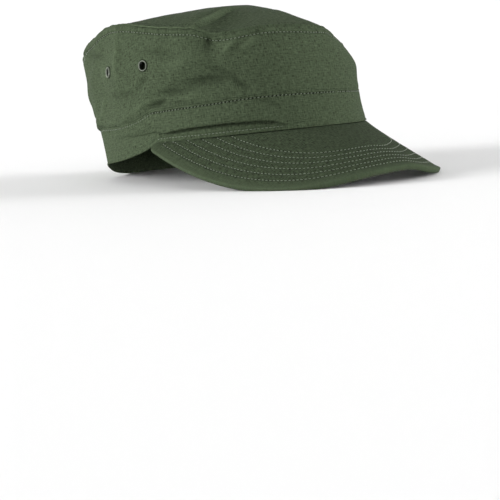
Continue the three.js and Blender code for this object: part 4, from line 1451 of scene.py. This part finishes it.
# %% Pale floor and room
FLOOR_SIZE, FLOOR_PAINT, ROOM_GLOW, ROOM_FALL = 400.0, (0.81, 0.81, 0.81), 3.1, 2
bpy.ops.object.select_all(action="DESELECT")
bpy.ops.mesh.primitive_plane_add(size=FLOOR_SIZE, location=(0, 0, 0))
floor = bpy.context.active_object
floor.name = floor.data.name = "pale_floor"
floor_paint, _, floor_shader = new_material("pale floor paint")
fill_inputs(floor_shader, {"Base Color": FLOOR_PAINT, "Roughness": 0.9})
dress(floor, floor_paint)

world = bpy.data.worlds.new("pale room")
bpy.context.scene.world = world
world.use_nodes = True
upward = split(coordinates(world.node_tree, "Generated"))[2]
low = (1 - calc("MAXIMUM", upward, 0)).clamped()
fill_inputs(world.node_tree.nodes["Background"],
            {"Strength": calc("POWER", low, ROOM_FALL) * ROOM_GLOW, "Color": (1, 1, 1)})
bpy.context.scene.view_settings.view_transform = "Standard"

# %% Camera
CAMERA_TURN, CAMERA_HEIGHT, CAMERA_ROLL = -36.35, 6.66, -3.575
CAMERA_DISTANCE, SENSOR = 1600.0, 36
PIXELS_PER_MM, AIM_X, AIM_Y, PICTURE = 1.4149, 237.30, 174.21, 500
right = np.array([cos(CAMERA_TURN), sin(CAMERA_TURN), 0])
back = np.array([sin(CAMERA_TURN) * cos(CAMERA_HEIGHT), -cos(CAMERA_TURN) * cos(CAMERA_HEIGHT),
                 sin(CAMERA_HEIGHT)])
up = np.cross(back, right)
rolled_right = right * cos(CAMERA_ROLL) + up * sin(CAMERA_ROLL)
rolled_up = up * cos(CAMERA_ROLL) - right * sin(CAMERA_ROLL)
axes = np.array([rolled_right, rolled_up, back])
offset = np.array([(AIM_X - PICTURE / 2) / PIXELS_PER_MM, (PICTURE / 2 - AIM_Y) / PIXELS_PER_MM,
                   -CAMERA_DISTANCE])
stand = -axes.T @ offset + np.array([0, OPENING_CENTRE_Y, 0])
camera_data = bpy.data.cameras.new("long lens")
camera_data.sensor_width = SENSOR
camera_data.lens = PIXELS_PER_MM * CAMERA_DISTANCE * SENSOR / PICTURE
camera_data.clip_start, camera_data.clip_end = 0.05, 100
camera = add_object("camera", camera_data)
camera.matrix_world = Matrix.Translation(Vector(stand * MILLIMETRE)) @ Matrix(axes.T.tolist()).to_4x4()
bpy.context.scene.camera = camera
print("camera stands", [round(float(value), 3) for value in camera.location])

# %% Low windows at both sides and a weak ceiling light
def broad_sun(name, side, near, height, spread, power):
    """It shines from a direction: along the picture's right, towards the camera and up."""
    data = bpy.data.lights.new(name, "SUN")
    data.angle, data.energy = math.radians(spread), power
    light = add_object(name, data)
    toward = Vector((sin(CAMERA_TURN), -cos(CAMERA_TURN), 0))
    source = Vector(right) * side + toward * near + Vector((0, 0, height))
    light.rotation_mode = "QUATERNION"
    light.rotation_quaternion = source.to_track_quat("Z", "Y")


broad_sun("left window", -1, 0.05, 0.22, 30, 4.3)
broad_sun("right window", 1, 0.05, 0.22, 35, 3.0)
broad_sun("ceiling light", -0.1, 0.3, 1, 60, 0.6)
